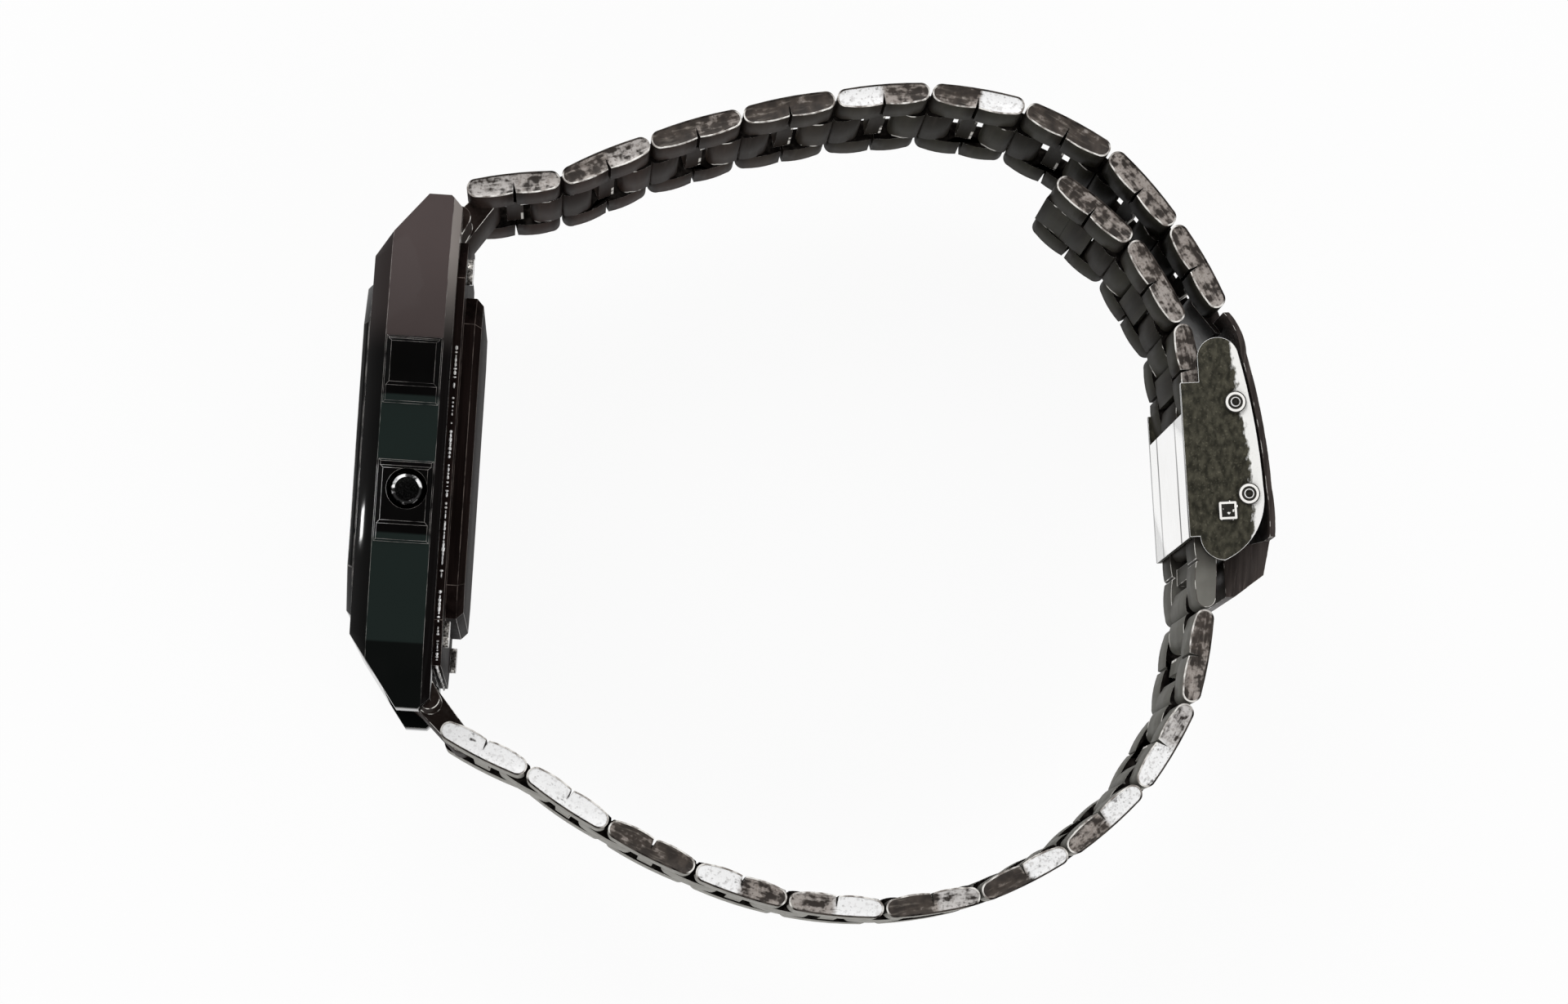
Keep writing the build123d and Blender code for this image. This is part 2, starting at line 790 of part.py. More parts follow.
with BuildPart() as held_links:
    for i in range(held_first, tail_first):
        add_link(lower_pins, lower_run_angles, i, -1, True, True)
save(held_links.part, "held_links")

for i in range(tail_first, len(lower_run_angles)):
    last = i + 1 == len(lower_run_angles)
    with BuildPart() as link:
        add_link(lower_pins, lower_run_angles, i, -1, not last, True)
    save(link.part, f"tail_link_{i - tail_first + 1}")


# Clasp
def clasp_side_outline():
    """Draw a side plate of the clasp frame, bowed out from the wrist."""
    with BuildLine() as outline:
        Line((rail_u, clasp_floor_start), (rail_u, clasp_rail_end))
        Line((rail_u, clasp_rail_end), (clasp_shoulder_u, clasp_rail_end))
        Line((clasp_shoulder_u, clasp_rail_end), (clasp_shoulder_u, clasp_shoulder_v))
        ThreePointArc(
            (clasp_shoulder_u, clasp_shoulder_v), (clasp_crest_u, clasp_crest_v), (clasp_brow_u, clasp_brow_v)
        )
        ThreePointArc(
            (clasp_brow_u, clasp_brow_v), (clasp_flank_u, clasp_flank_v), (clasp_belly_u, clasp_belly_v)
        )
        ThreePointArc(
            (clasp_belly_u, clasp_belly_v), (clasp_jaw_u, clasp_jaw_v), (clasp_chin_u, clasp_chin_v)
        )
        ThreePointArc(
            (clasp_chin_u, clasp_chin_v), (clasp_throat_u, clasp_throat_v), (clasp_heel_u, clasp_floor_start)
        )
        Line((clasp_heel_u, clasp_floor_start), (rail_u, clasp_floor_start))
    make_face(outline.edges())


def clasp_plane(level):
    """A plane square to Z in the clasp's own directions."""
    return flat_at(clasp_origin, clasp_angle, level)


with BuildPart() as clasp_frame:
    for side in (-1, 1):
        with BuildSketch(clasp_plane(side * frame_side)):
            clasp_side_outline()
        extrude(amount=-side * clasp_sheet)
    with BuildSketch(clasp_plane(0)):
        box_outline(rail_u, rail_u + clasp_floor_sheet, clasp_floor_start, clasp_floor_end)
    extrude(amount=frame_inside, both=True)
    with BuildSketch(clasp_plane(0)):
        with Locations(*bar_points):
            Circle(bar_radius + pin_gap)
        with Locations((square_bar_u, square_bar_v)):
            Rectangle(square_bar_side + pin_gap, square_bar_side + pin_gap)
    extrude(amount=frame_side, both=True, mode=Mode.SUBTRACT)
save(clasp_frame.part, "clasp_frame")

with BuildPart() as clasp_bars:
    with BuildSketch(clasp_plane(0)):
        with Locations(*bar_points):
            Circle(bar_radius)
        with Locations((square_bar_u, square_bar_v)):
            Rectangle(square_bar_side, square_bar_side)
    extrude(amount=frame_side, both=True)
    for side in (-1, 1):
        with BuildSketch(clasp_plane(side * frame_side)):
            with Locations(*bar_points):
                Circle(rivet_radius)
            with Locations((square_bar_u, square_bar_v)):
                RectangleRounded(square_rivet_side, square_rivet_side, square_rivet_round)
        extrude(amount=side * rivet_height)
save(clasp_bars.part, "clasp_bars")


def cover_edge(distance):
    """Points of the cover's section at a distance outside the clasp frame."""
    return [
        (cover_start_u + distance, cover_start_v),
        (cover_bend_u + distance, cover_bend_v),
        (clasp_brow_u + distance, clasp_brow_v),
        (clasp_flank_u + distance, clasp_flank_v),
        (clasp_belly_u + distance, clasp_belly_v),
        (cover_tail_u + cover_tail_bow + distance, (clasp_belly_v + cover_tail_v) / 2),
        (cover_tail_u + distance, cover_tail_v),
    ]


with BuildPart() as clasp_cover:
    inside = cover_edge(cover_gap)
    outside = cover_edge(cover_gap + cover_sheet)
    with BuildSketch(clasp_plane(0)):
        with BuildLine():
            ThreePointArc(inside[0], inside[1], inside[2])
            ThreePointArc(inside[2], inside[3], inside[4])
            ThreePointArc(inside[4], inside[5], inside[6])
            Line(inside[6], outside[6])
            ThreePointArc(outside[6], outside[5], outside[4])
            ThreePointArc(outside[4], outside[3], outside[2])
            ThreePointArc(outside[2], outside[1], outside[0])
            Line(outside[0], inside[0])
        make_face()
    extrude(amount=frame_side, both=True)
    with BuildSketch(clasp_plane(0)):
        with BuildLine():
            Polyline(
                inside[6],
                (lip_inner_u, lip_top_v),
                (lip_inner_u, lip_bottom_v),
                (lip_toe_u, lip_bottom_v),
                (clasp_belly_u, lip_side_v),
                outside[6],
                close=True,
            )
        make_face()
    extrude(amount=lip_half_width, both=True)
    pin_local = clasp_plane(0).to_local_coords(Vector(*cover_pin, 0))
    with BuildSketch(clasp_plane(0)):
        with Locations((pin_local.X, pin_local.Y)):
            Circle(end_radius)
        with Locations((cover_start_u + cover_gap + neck_radius, cover_start_v - neck_radius)):
            Circle(neck_radius)
        make_hull()
    extrude(amount=centre_side, both=True)
    pin_circles([cover_pin], pin_radius + pin_gap, centre_side, Mode.SUBTRACT)
save(clasp_cover.part, "clasp_cover")

with BuildPart() as clasp_hinge_pin:
    pin_circles([cover_pin], pin_radius, pin_side, Mode.ADD)
save(clasp_hinge_pin.part, "clasp_hinge_pin")

with BuildPart() as lock_plate:
    with BuildSketch(clasp_plane(0)):
        with Locations((lock_plate_tip_u, lock_plate_tip_v), (lock_plate_root_u, lock_plate_root_v)):
            Circle(lock_plate_radius)
        make_hull()
        with Locations((upper_bar_u, upper_bar_v)):
            Circle(lock_eye_radius)
    extrude(amount=lock_plate_half_width, both=True)
    with BuildSketch(clasp_plane(0)):
        with Locations((upper_bar_u, upper_bar_v)):
            Circle(bar_radius + pin_gap)
    extrude(amount=lock_plate_half_width, both=True, mode=Mode.SUBTRACT)
save(lock_plate.part, "lock_plate")
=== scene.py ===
# %% [markdown]
# # A digital watch on a bracelet of folded links
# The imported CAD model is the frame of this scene. It holds the size and place of every piece.
# Here each piece gets the finish that its maker would give it: stamped and folded sheet for
# the links, smoky plating for the faceted case, brushed sheet with polished rims for the clasp.
# All lengths are metres, so a small constant turns millimetres into them.

# %% Load the frame
import json
import math

import bmesh
import bpy
from mathutils import Matrix, Vector

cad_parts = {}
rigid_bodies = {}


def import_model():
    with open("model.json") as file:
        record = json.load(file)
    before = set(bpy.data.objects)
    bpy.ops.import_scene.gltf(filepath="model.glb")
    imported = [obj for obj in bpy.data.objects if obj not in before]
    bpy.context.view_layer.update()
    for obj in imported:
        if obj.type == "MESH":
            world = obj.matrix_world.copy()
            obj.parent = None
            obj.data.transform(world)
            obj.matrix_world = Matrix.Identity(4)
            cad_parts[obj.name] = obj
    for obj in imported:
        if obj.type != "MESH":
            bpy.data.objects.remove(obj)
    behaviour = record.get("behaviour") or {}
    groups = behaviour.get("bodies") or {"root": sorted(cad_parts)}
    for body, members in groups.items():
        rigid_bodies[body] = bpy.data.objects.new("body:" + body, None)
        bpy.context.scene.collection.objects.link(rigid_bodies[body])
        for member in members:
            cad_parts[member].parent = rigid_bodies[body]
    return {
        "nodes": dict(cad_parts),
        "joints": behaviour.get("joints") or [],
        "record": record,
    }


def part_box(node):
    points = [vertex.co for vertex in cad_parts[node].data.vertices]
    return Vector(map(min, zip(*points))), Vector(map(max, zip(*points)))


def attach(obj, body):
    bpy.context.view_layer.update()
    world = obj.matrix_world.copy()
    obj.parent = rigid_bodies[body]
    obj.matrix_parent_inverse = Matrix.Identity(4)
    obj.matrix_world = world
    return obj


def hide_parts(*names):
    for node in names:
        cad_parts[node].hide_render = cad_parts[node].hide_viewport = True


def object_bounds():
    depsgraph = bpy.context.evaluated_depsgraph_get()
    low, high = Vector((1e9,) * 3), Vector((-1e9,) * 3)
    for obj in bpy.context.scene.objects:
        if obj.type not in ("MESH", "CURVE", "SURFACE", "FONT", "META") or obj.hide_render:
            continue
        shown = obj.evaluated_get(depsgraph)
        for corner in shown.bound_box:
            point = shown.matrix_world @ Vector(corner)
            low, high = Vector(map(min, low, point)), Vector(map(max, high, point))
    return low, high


for leftover in list(bpy.data.objects):
    bpy.data.objects.remove(leftover)

MM = 0.001
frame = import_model()
cad_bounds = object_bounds()
nodes = frame["nodes"]
hinges = {joint["name"]: joint for joint in frame["joints"]}
bodies = frame["record"]["behaviour"]["bodies"]
node_body = {node: body for body, names in bodies.items() for node in names}
node_slot = {part["node"]: part["material_slot"] for part in frame["record"]["subparts"]}


def new_object(name, data):
    """A new object in the scene, at the origin."""
    thing = bpy.data.objects.new(name, data)
    bpy.context.scene.collection.objects.link(thing)
    return thing


# %% [markdown]
# ## A small language for node trees
# A material and a Geometry Nodes tree are both graphs. Writing them as Python expressions keeps
# them short: a Wire stands for one output, and + - * / on it add Math nodes. Every other
# node comes from one function, which sets the node's settings first and its sockets after.

# %% Wires and nodes
class Wire:
    """One output in a node tree, on which Python's operators work."""

    def __init__(self, tree, socket):
        self.tree = tree
        self.socket = socket

    def also(self, output):
        """Another output of the same node."""
        return Wire(self.tree, self.socket.node.outputs[output])

    def math(self, operation, *others):
        """A Math node with this value as its first input."""
        inputs = dict(enumerate((self, *others)))
        return add_node(self.tree, "ShaderNodeMath", {"operation": operation}, inputs)

    def __add__(self, other):
        return self.math("ADD", other)

    __radd__ = __add__

    def __sub__(self, other):
        return self.math("SUBTRACT", other)

    def __rsub__(self, other):
        return add_node(self.tree, "ShaderNodeMath", {"operation": "SUBTRACT"}, {0: other, 1: self})

    def __mul__(self, other):
        return self.math("MULTIPLY", other)

    __rmul__ = __mul__

    def __truediv__(self, other):
        return self.math("DIVIDE", other)

    def part(self, axis):
        """The X, Y or Z of a vector."""
        return add_node(self.tree, "ShaderNodeSeparateXYZ", inputs={0: self}, output=axis)

    def absolute(self):
        """The value without its sign."""
        return self.math("ABSOLUTE")

    def clamped(self):
        """The value kept between zero and one."""
        return self.math("MAXIMUM", 0.0).math("MINIMUM", 1.0)

    def step(self, low, high):
        """Zero below low, one above high, and a smooth ramp between."""
        settings = {"interpolation_type": "SMOOTHSTEP"}
        inputs = {0: self, 1: low, 2: high}
        return add_node(self.tree, "ShaderNodeMapRange", settings, inputs)

    def past(self, low, high):
        """The same ramp between two distances in millimetres."""
        return self.step(low * MM, high * MM)

    def band(self, rise_from, rise_to, fall_from, fall_to):
        """A ramp up from zero to one, and later one down again, in millimetres."""
        return self.past(rise_from, rise_to) * (1 - self.past(fall_from, fall_to))


def fill(node, inputs):
    """Set a node's sockets to wires or values. None leaves a socket as it is."""
    for name, value in inputs.items():
        if isinstance(value, Wire):
            value.tree.links.new(value.socket, node.inputs[name])
        elif value is not None:
            node.inputs[name].default_value = value


def add_node(tree, kind, settings=None, inputs=None, output=0):
    """Add a node: its settings first, then its sockets. The wire of one output comes back."""
    node = tree.nodes.new(kind)
    for name, value in (settings or {}).items():
        setattr(node, name, value)
    fill(node, inputs or {})
    return Wire(tree, node.outputs[output])


def rgb(code):
    """A screen colour such as 4b4443 as the linear colour that a shader takes."""
    shares = [int(code[i : i + 2], 16) / 255 for i in (0, 2, 4)]
    linear = [s / 12.92 if s < 0.04045 else ((s + 0.055) / 1.055) ** 2.4 for s in shares]
    return (*linear, 1.0)


def mixed(factor, first, second):
    """A colour between two colours, each a wire or a screen colour."""
    inputs = {0: factor}
    for socket, colour in ((6, first), (7, second)):
        inputs[socket] = rgb(colour) if isinstance(colour, str) else colour
    return add_node(factor.tree, "ShaderNodeMix", {"data_type": "RGBA"}, inputs, 2)


class Finish:
    """A material on one Principled shader."""

    def __init__(self, name):
        self.material = bpy.data.materials.new(name)
        self.material.use_nodes = True
        self.tree = self.material.node_tree
        self.shader = self.tree.nodes["Principled BSDF"]
        self.place = add_node(self.tree, "ShaderNodeTexCoord", output="Object")

    def axis(self, name):
        """One coordinate of the surface point, in metres."""
        return self.place.part(name)

    def stretched(self, scale, turn=0.0):
        """The place on the surface, squeezed along some axes: a pattern runs along those."""
        inputs = {"Vector": self.place, "Rotation": (0.0, 0.0, turn), "Scale": scale}
        return add_node(self.tree, "ShaderNodeMapping", inputs=inputs)

    def noise(self, grain, detail=3.0, place=None):
        """Cloudy values from zero to one, with spots about grain millimetres wide."""
        inputs = {"Vector": place or self.place, "Scale": 1 / (grain * MM), "Detail": detail}
        return add_node(self.tree, "ShaderNodeTexNoise", inputs=inputs)

    def cells(self, grain):
        """Distance to the nearest of many scattered points, for pits and chips."""
        inputs = {"Vector": self.place, "Scale": 1 / (grain * MM)}
        return add_node(self.tree, "ShaderNodeTexVoronoi", inputs=inputs)

    def attribute(self, name):
        """A number stored on the piece's own mesh."""
        return add_node(self.tree, "ShaderNodeAttribute", {"attribute_name": name}, output="Fac")

    def bump(self, height, depth, strength):
        """A relief that is depth millimetres deep."""
        inputs = {"Strength": strength, "Distance": depth * MM, "Height": height}
        return add_node(self.tree, "ShaderNodeBump", inputs=inputs)

    def set(self, **values):
        """Fill the shader's sockets, written with _ for a space."""
        fill(self.shader, {name.replace("_", " "): value for name, value in values.items()})
        return self.material


# %% [markdown]
# ## Finishes of the case
# The case is moulded and plated in a smoky gloss. The colours of its facets are painted
# reflections of the room: warmer towards 12 o'clock, colder towards 6 o'clock, black between
# the panels, and lighter strips on the front and back edges. A broad slow noise keeps the gloss
# from being perfectly even, and a very shallow relief gives it the faint waviness of a moulded
# surface. The narrow polished edges have a finish of their own, because that is where plating
# catches the light: their bright spots are partly rubbed plating and partly painted highlight.

# %% Case finishes
def case_with_painted_reflections():
    """Gloss plating, with painted reflections: a warm facet near 12 o'clock, cold panels below it,
    black between them, and lighter strips on the front and back edges.
    """
    finish = Finish("case_with_painted_reflections")
    along = finish.axis("Y")
    across = finish.axis("X")
    cloud = finish.noise(3.0)
    black = "050505"
    cold = "1c2422"
    # Painted reflections: one band of colour for each facet or panel along the case.
    reflected_tint = "090c0b"
    for start, colour in ((-14.0, cold), (-6.5, black), (-1.4, cold), (3.3, black)):
        reflected_tint = mixed(along.past(start - 0.1, start + 0.1), reflected_tint, colour)
    warm = mixed(along.past(7.0, 16.0), "443c3b", "4f4645")
    reflected_tint = mixed(along.past(7.4, 7.6), reflected_tint, warm)
    # Painted reflection: a lighter, warmer sheen on the front bevel towards 12 o'clock.
    front = 1 - across.past(-6.62, -6.56)
    front_reflection = along.past(6.0, 10.0) * 0.55
    reflected_tint = mixed(front, reflected_tint, mixed(front_reflection, black, "3b3433"))
    # Painted reflection: the back edge turns light towards 12 o'clock.
    back = across.past(-2.52, -2.46)
    reflected_tint = mixed(back, reflected_tint, mixed(along.past(6.0, 15.0), "0d0b0b", "8b8480"))
    wave = finish.bump(finish.noise(2.5, 1.0), 0.006, 0.25)
    return finish.set(
        Base_Color=mixed(cloud * 0.12, reflected_tint, "2a2827"),
        Roughness=0.05 + 0.06 * cloud,
        Normal=wave,
        Specular_IOR_Level=0.014,
    )


def polished_edge(name, dark, light, grain, metallic=0.25, highlight_stretch=None, bright_from=0.35):
    """Narrow polished edges with small bright spots, partly rubbed plating and partly painted
    highlight, and a painted highlight whole along one stretch of the front.
    """
    finish = Finish(name)
    wear_and_glint = finish.noise(grain, 4.0).step(bright_from, 0.62)
    tone = mixed(wear_and_glint, dark, light)
    if highlight_stretch:
        start, end = highlight_stretch
        along = finish.axis("Y")
        front = 1 - finish.axis("X").past(-5.6, -5.4)
        # Painted highlight: one stretch of the front edge is white along its whole length.
        whole = along.band(start, start + 0.3, end - 0.3, end) * front
        tone = mixed(whole, tone, "ffffff")
    return finish.set(
        Base_Color=tone,
        Roughness=0.25 + 0.2 * wear_and_glint,
        Metallic=metallic + 0.1 * wear_and_glint,
        Normal=finish.bump(finish.noise(grain / 3), 0.008, 0.6),
        Specular_IOR_Level=0.3,
    )


def black_gloss():
    """The bezel: black, very smooth, with hairline marks."""
    finish = Finish("black_gloss")
    hairs = finish.noise(0.5, 4.0, finish.stretched((1.0, 0.08, 1.0))).step(0.45, 0.75)
    return finish.set(
        Base_Color=mixed(hairs * 0.5, "050505", "121212"),
        Roughness=0.06 + 0.1 * hairs,
        Normal=finish.bump(hairs, 0.002, 0.3),
        Specular_IOR_Level=0.15,
    )


def clear_crystal():
    """The moulded crystal: clear, with a trace of smoke and faint dust."""
    finish = Finish("clear_crystal")
    dust = finish.noise(0.4, 5.0).step(0.6, 0.8)
    return finish.set(
        Base_Color=mixed(dust, "202224", "3a3d3f"),
        Roughness=0.03 + 0.1 * dust,
        Alpha=0.2 + 0.1 * dust,
        Coat_Weight=1.0,
    )


smoky = case_with_painted_reflections()
# The stretch of the front edge, in millimetres along the case, that carries the painted highlight.
front_highlight_stretch = (-7.0, -1.6)
case_edge = polished_edge("case_edge", "3d3b3a", "b5b1ad", 1.2, highlight_stretch=front_highlight_stretch)
bezel = black_gloss()
bezel_edge = polished_edge("bezel_edge", "161616", "6a6765", 1.5)
print("case finishes:", smoky.name, case_edge.name, bezel.name, bezel_edge.name)

# %% [markdown]
# ## Finishes of the bracelet
# A link starts as sheet metal. The press leaves its cut edges rough and bright, while the
# folded faces keep a satin plating. So a link has four finishes: the satin faces, with painted
# shade and painted glints, the speckled core of each cut edge, the thin rim where the tumbling
# barrel has rounded it, and the dark rims of the folds with painted glints. How far each half of
# an edge is polished is stored on its mesh as a number, because no two stampings come out
# alike. So is each point's place on the link.

# %% Bracelet finishes
def satin_link():
    """Dark satin plating, warmer near 12 o'clock, paler on the outer faces of the run below 6
    o'clock and near the clasp, with painted shade and painted glints.
    """
    finish = Finish("satin_link")
    drift = finish.axis("X").past(6, 36)
    outside = finish.attribute("outside")
    recess_shade = finish.attribute("recess_shade")
    along = finish.attribute("along")
    from_seam = along.absolute()
    level = finish.axis("Z").absolute()
    shaded = 1 - from_seam.band(0.25, 1.2, 2.3, 3.3)
    brush = finish.noise(0.5, 3.0, finish.stretched((1.0, 1.0, 0.06)))
    cloud = finish.noise(1.6, 2.0)
    tone = mixed(drift, "3a2f2b", "383730")
    # Painted shade: darker near the seam and at the ends of each link.
    tone = mixed(shaded * 0.65, tone, "1a1614")
    # Paler outer faces on the run below 6 o'clock; near the clasp the faces are painted pale grey,
    # standing in for the soft grey shadow there.
    low = 1 - finish.axis("Y").past(-7, 3)
    near_clasp = 1 - finish.axis("Y").past(-6, -2)
    near_clasp = near_clasp * finish.axis("X").past(30, 42)
    tone = mixed(near_clasp * 0.8, tone, "7f7e78")
    tone = mixed(outside, tone, mixed(low, "4a4541", "a3a19b"))
    tone = mixed(cloud.step(0.35, 0.75) * 0.25, tone, "2a2422")
    # Painted shade: the faces between the side plates go near black.
    tone = mixed(recess_shade, tone, "0c0a09")
    # Painted highlights: glints on the top edge of the middle block, and a bright line beside its
    # bridge.
    spots = finish.noise(0.9, 1.0).step(0.4, 0.46)
    shoulder = level.band(3.85, 4.0, 4.3, 4.36)
    shoulder = shoulder * from_seam.band(1.35, 1.5, 2.5, 2.7)
    bridge_glint = along.band(0.4, 0.44, 0.62, 0.66)
    bridge_glint = bridge_glint * level.band(1.4, 1.8, 4.2, 4.3)
    bridge_glint = bridge_glint * finish.attribute("across").past(-0.7, -0.66)
    painted_glints = (shoulder * spots + bridge_glint * spots).clamped() * (1 - outside) * (1 - recess_shade)
    tone = mixed(painted_glints, tone, "efece6")
    return finish.set(
        Base_Color=mixed(brush.step(0.4, 0.8) * 0.12, tone, "6f6863"),
        Roughness=0.32 + 0.15 * brush,
        Normal=finish.bump(brush, 0.008, 0.5),
        Specular_IOR_Level=0.003,
    )


def stamped_edge():
    """The cut edge of the sheet: torn and dull, with patches that the press has burnished."""
    finish = Finish("stamped_edge")
    first, second = finish.attribute("first_polish"), finish.attribute("second_polish")
    along = finish.attribute("along")
    polish = first + (second - first) * along.past(-0.55, 0.55)
    rolled = {0: along * 0.2, 1: finish.attribute("across"), 2: first * 9 * MM}
    rolled = add_node(finish.tree, "ShaderNodeCombineXYZ", inputs=rolled)
    patches = finish.noise(0.9, 2.0)
    grains = finish.noise(0.3, 4.0)
    scratches = finish.noise(0.3, 4.0, rolled)
    pits = 1 - finish.cells(0.33).step(0.1, 0.28)
    uneven = (patches - 0.5) * 1.7 + (scratches - 0.5) * 1.1 + grains - 0.5
    bright = (polish + uneven).step(0.3, 0.72)
    dull = mixed(patches.step(0.35, 0.65), "2b2521", "433b35")
    dull = mixed(scratches.step(0.52, 0.72) * 0.5, dull, "7b736b")
    clean = mixed(polish.step(0.5, 0.85), "a39b95", "ffffff")
    clean = mixed(grains.step(0.5, 0.66) * (1 - polish * 0.8), clean, "6d635c")
    clean = mixed(pits * (1 - polish * 0.75), clean, "453c37")
    return finish.set(
        Base_Color=mixed(bright, dull, clean),
        Roughness=0.5 - 0.2 * bright,
        Metallic=0.15 * bright,
        Normal=finish.bump(grains + scratches * 0.5 - pits * 0.4, 0.02, 0.6),
        Specular_IOR_Level=0.3,
    )


def glinting_fold():
    """The narrow rounded rim of a fold: dark, paler towards the wrist, with short painted glints
    that gather at the level of the middle block's top edge.
    """
    finish = Finish("glinting_fold")
    level = finish.axis("Z").absolute()
    shoulder = level.band(3.6, 3.9, 4.6, 4.9)
    inner = 1 - finish.attribute("across").past(0.2, 0.4)
    dark = mixed(inner, "1c1917", "4a423e")
    # Painted highlights: short glints, gathered at the level of the middle block's top edge.
    glint = (finish.noise(1.1, 2.0) + 0.1 * shoulder).step(0.5, 0.58) * inner
    return finish.set(
        Base_Color=mixed(glint, dark, "f2efe9"),
        Roughness=0.35 - 0.1 * glint,
        Metallic=0.1 * glint,
        Specular_IOR_Level=0.2,
    )


def tumbled_rim():
    """The rim of a cut edge: bright towards the wrist, dull on the outside of the band."""
    finish = Finish("link_rim")
    wear_and_glint = finish.noise(0.7, 4.0).step(0.35, 0.62)
    outer = finish.attribute("across").past(0.35, 0.6)
    dull = mixed(wear_and_glint, "1d1917", "48413c")
    return finish.set(
        Base_Color=mixed(outer, mixed(wear_and_glint, "8b837d", "f4f1ec"), dull),
        Roughness=0.25 + 0.2 * wear_and_glint,
        Metallic=0.25 + 0.1 * wear_and_glint,
        Normal=finish.bump(finish.noise(0.23), 0.008, 0.6),
        Specular_IOR_Level=0.3,
    )


satin = satin_link()
stamped = stamped_edge()
link_rim = tumbled_rim()
fold_rim = glinting_fold()
print("bracelet finishes:", satin.name, stamped.name, link_rim.name, fold_rim.name)

# %% [markdown]
# ## Finishes of the clasp, the buttons and the back
# The clasp's cover is brushed sheet, and its floor is polished with a dark line pressed along
# each side. The back cover is plated darker and brushed along the case. Pins are drawn through
# a die, which leaves fine lines along them, and a noise squeezed along their axis gives those.
# Solids that keep their CAD mesh take the finish of their material slot from a table.

# %% Clasp, button and back finishes
def brushed_sheet(name, dark, light, grain, roughness, metallic, turn=0.0, gloss=0.1, run=0.6):
    """Sheet metal with a coarse brushed grain and small bright flecks."""
    finish = Finish(name)
    brushed = finish.stretched((1.0, run, 1.0), turn)
    coarse = finish.noise(grain, 5.0, brushed)
    fleck = finish.noise(grain / 2.5, 5.0, brushed).step(0.56, 0.72)
    shine = (coarse.step(0.3, 0.75) * 0.6 + fleck * 0.5).clamped()
    return finish.set(
        Base_Color=mixed(shine, dark, light),
        Roughness=roughness + 0.25 * coarse,
        Metallic=metallic,
        Normal=finish.bump(coarse + fleck, 0.02, 0.6),
        Specular_IOR_Level=gloss,
    )


def mirror_floor():
    """The clasp's floor: polished, with a dark pressed line along each side."""
    finish = Finish("clasp_floor")
    haze = finish.noise(0.5, 4.0, finish.stretched((1.0, 0.3, 1.0)))
    level = finish.axis("Z").absolute()
    pressed = level.band(4.7, 4.9, 5.3, 5.5)
    pressed = (pressed + level.past(9.0, 9.1)).clamped()
    return finish.set(
        Base_Color=mixed(pressed, mixed(haze, "f0efed", "ffffff"), "14120f"),
        Roughness=0.1 + 0.1 * haze,
        Metallic=1.0,
        Normal=finish.bump(haze, 0.002, 0.3),
    )


def drawn_metal(name, dark, light, roughness):
    """Drawn metal: fine lines along the pins."""
    finish = Finish(name)
    lines = finish.noise(0.12, 2.0, finish.stretched((1.0, 1.0, 0.1)))
    return finish.set(
        Base_Color=mixed(lines.step(0.35, 0.7), dark, light),
        Roughness=roughness + 0.15 * lines,
        Metallic=0.85,
        Normal=finish.bump(lines, 0.004, 0.5),
    )


def plain_grain(name, dark, light, grain, roughness):
    """Moulded or cast material: two close shades and a fine even grain."""
    finish = Finish(name)
    grains = finish.noise(grain, 4.0)
    return finish.set(
        Base_Color=mixed(grains.step(0.3, 0.7), dark, light),
        Roughness=roughness + 0.15 * grains,
        Normal=finish.bump(grains, 0.01, 0.5),
    )


CLASP_ANGLE = math.radians(6.5)
clasp_floor = mirror_floor()
clasp_outer = brushed_sheet(
    "clasp_outer", "2c2725", "544c49", 0.4, 0.3, 0.15, turn=CLASP_ANGLE, run=0.06
)
clasp_rim = polished_edge("clasp_rim", "e2e0dc", "ffffff", 1.2, 0.1)
rivet_face = polished_edge("rivet_face", "1a1917", "3a3833", 0.5)
cover_back = brushed_sheet(
    "cover_back", "120d0c", "261d1b", 0.5, 0.34, 0.0, gloss=0.005, run=0.06
)
cover_edge = polished_edge("cover_edge", "2c2522", "6d625c", 1.0)
screw_metal = drawn_metal("screw_metal", "4b4744", "c9c5bf", 0.25)
button_metal = drawn_metal("button_metal", "0c0c0c", "242424", 0.18)
# The bright arcs on the button rims are painted highlights.
button_rim = polished_edge("button_rim", "0c0c0c", "ffffff", 0.6, 0.0, bright_from=0.47)
slot_finishes = {
    "link_steel": satin,
    "clasp_steel": clasp_outer,
    "pin_steel": drawn_metal("pin_metal", "4a4846", "a9a6a1", 0.28),
    "crystal_clear": clear_crystal(),
    "seal_rubber": plain_grain("seal_rubber", "0b0b0b", "171717", 0.15, 0.7),
    "module_plastic": plain_grain("module_plastic", "1a1a1b", "262628", 0.2, 0.55),
    "backlight_film": plain_grain("backlight_film", "c4c7b6", "d6d8ca", 0.4, 0.5),
    "cell_steel": brushed_sheet("cell_metal", "9a9a96", "c6c6c2", 0.4, 0.25, 0.9),
    "sounder_brass": brushed_sheet("sounder_brass", "a98644", "cda866", 0.5, 0.25, 0.9),
}
print("slots with a finish:", len(slot_finishes))

# %% [markdown]
# ## Dial, display and board
# The dial is printed: a plain frame line runs round the display opening. The display is a
# grey-green liquid crystal panel. Its unlit matrix shows as a very fine grid. The board under
# it carries copper tracks beneath green lacquer. All three patterns follow the coordinates of
# the piece, so they stay put at any pose and in any view.

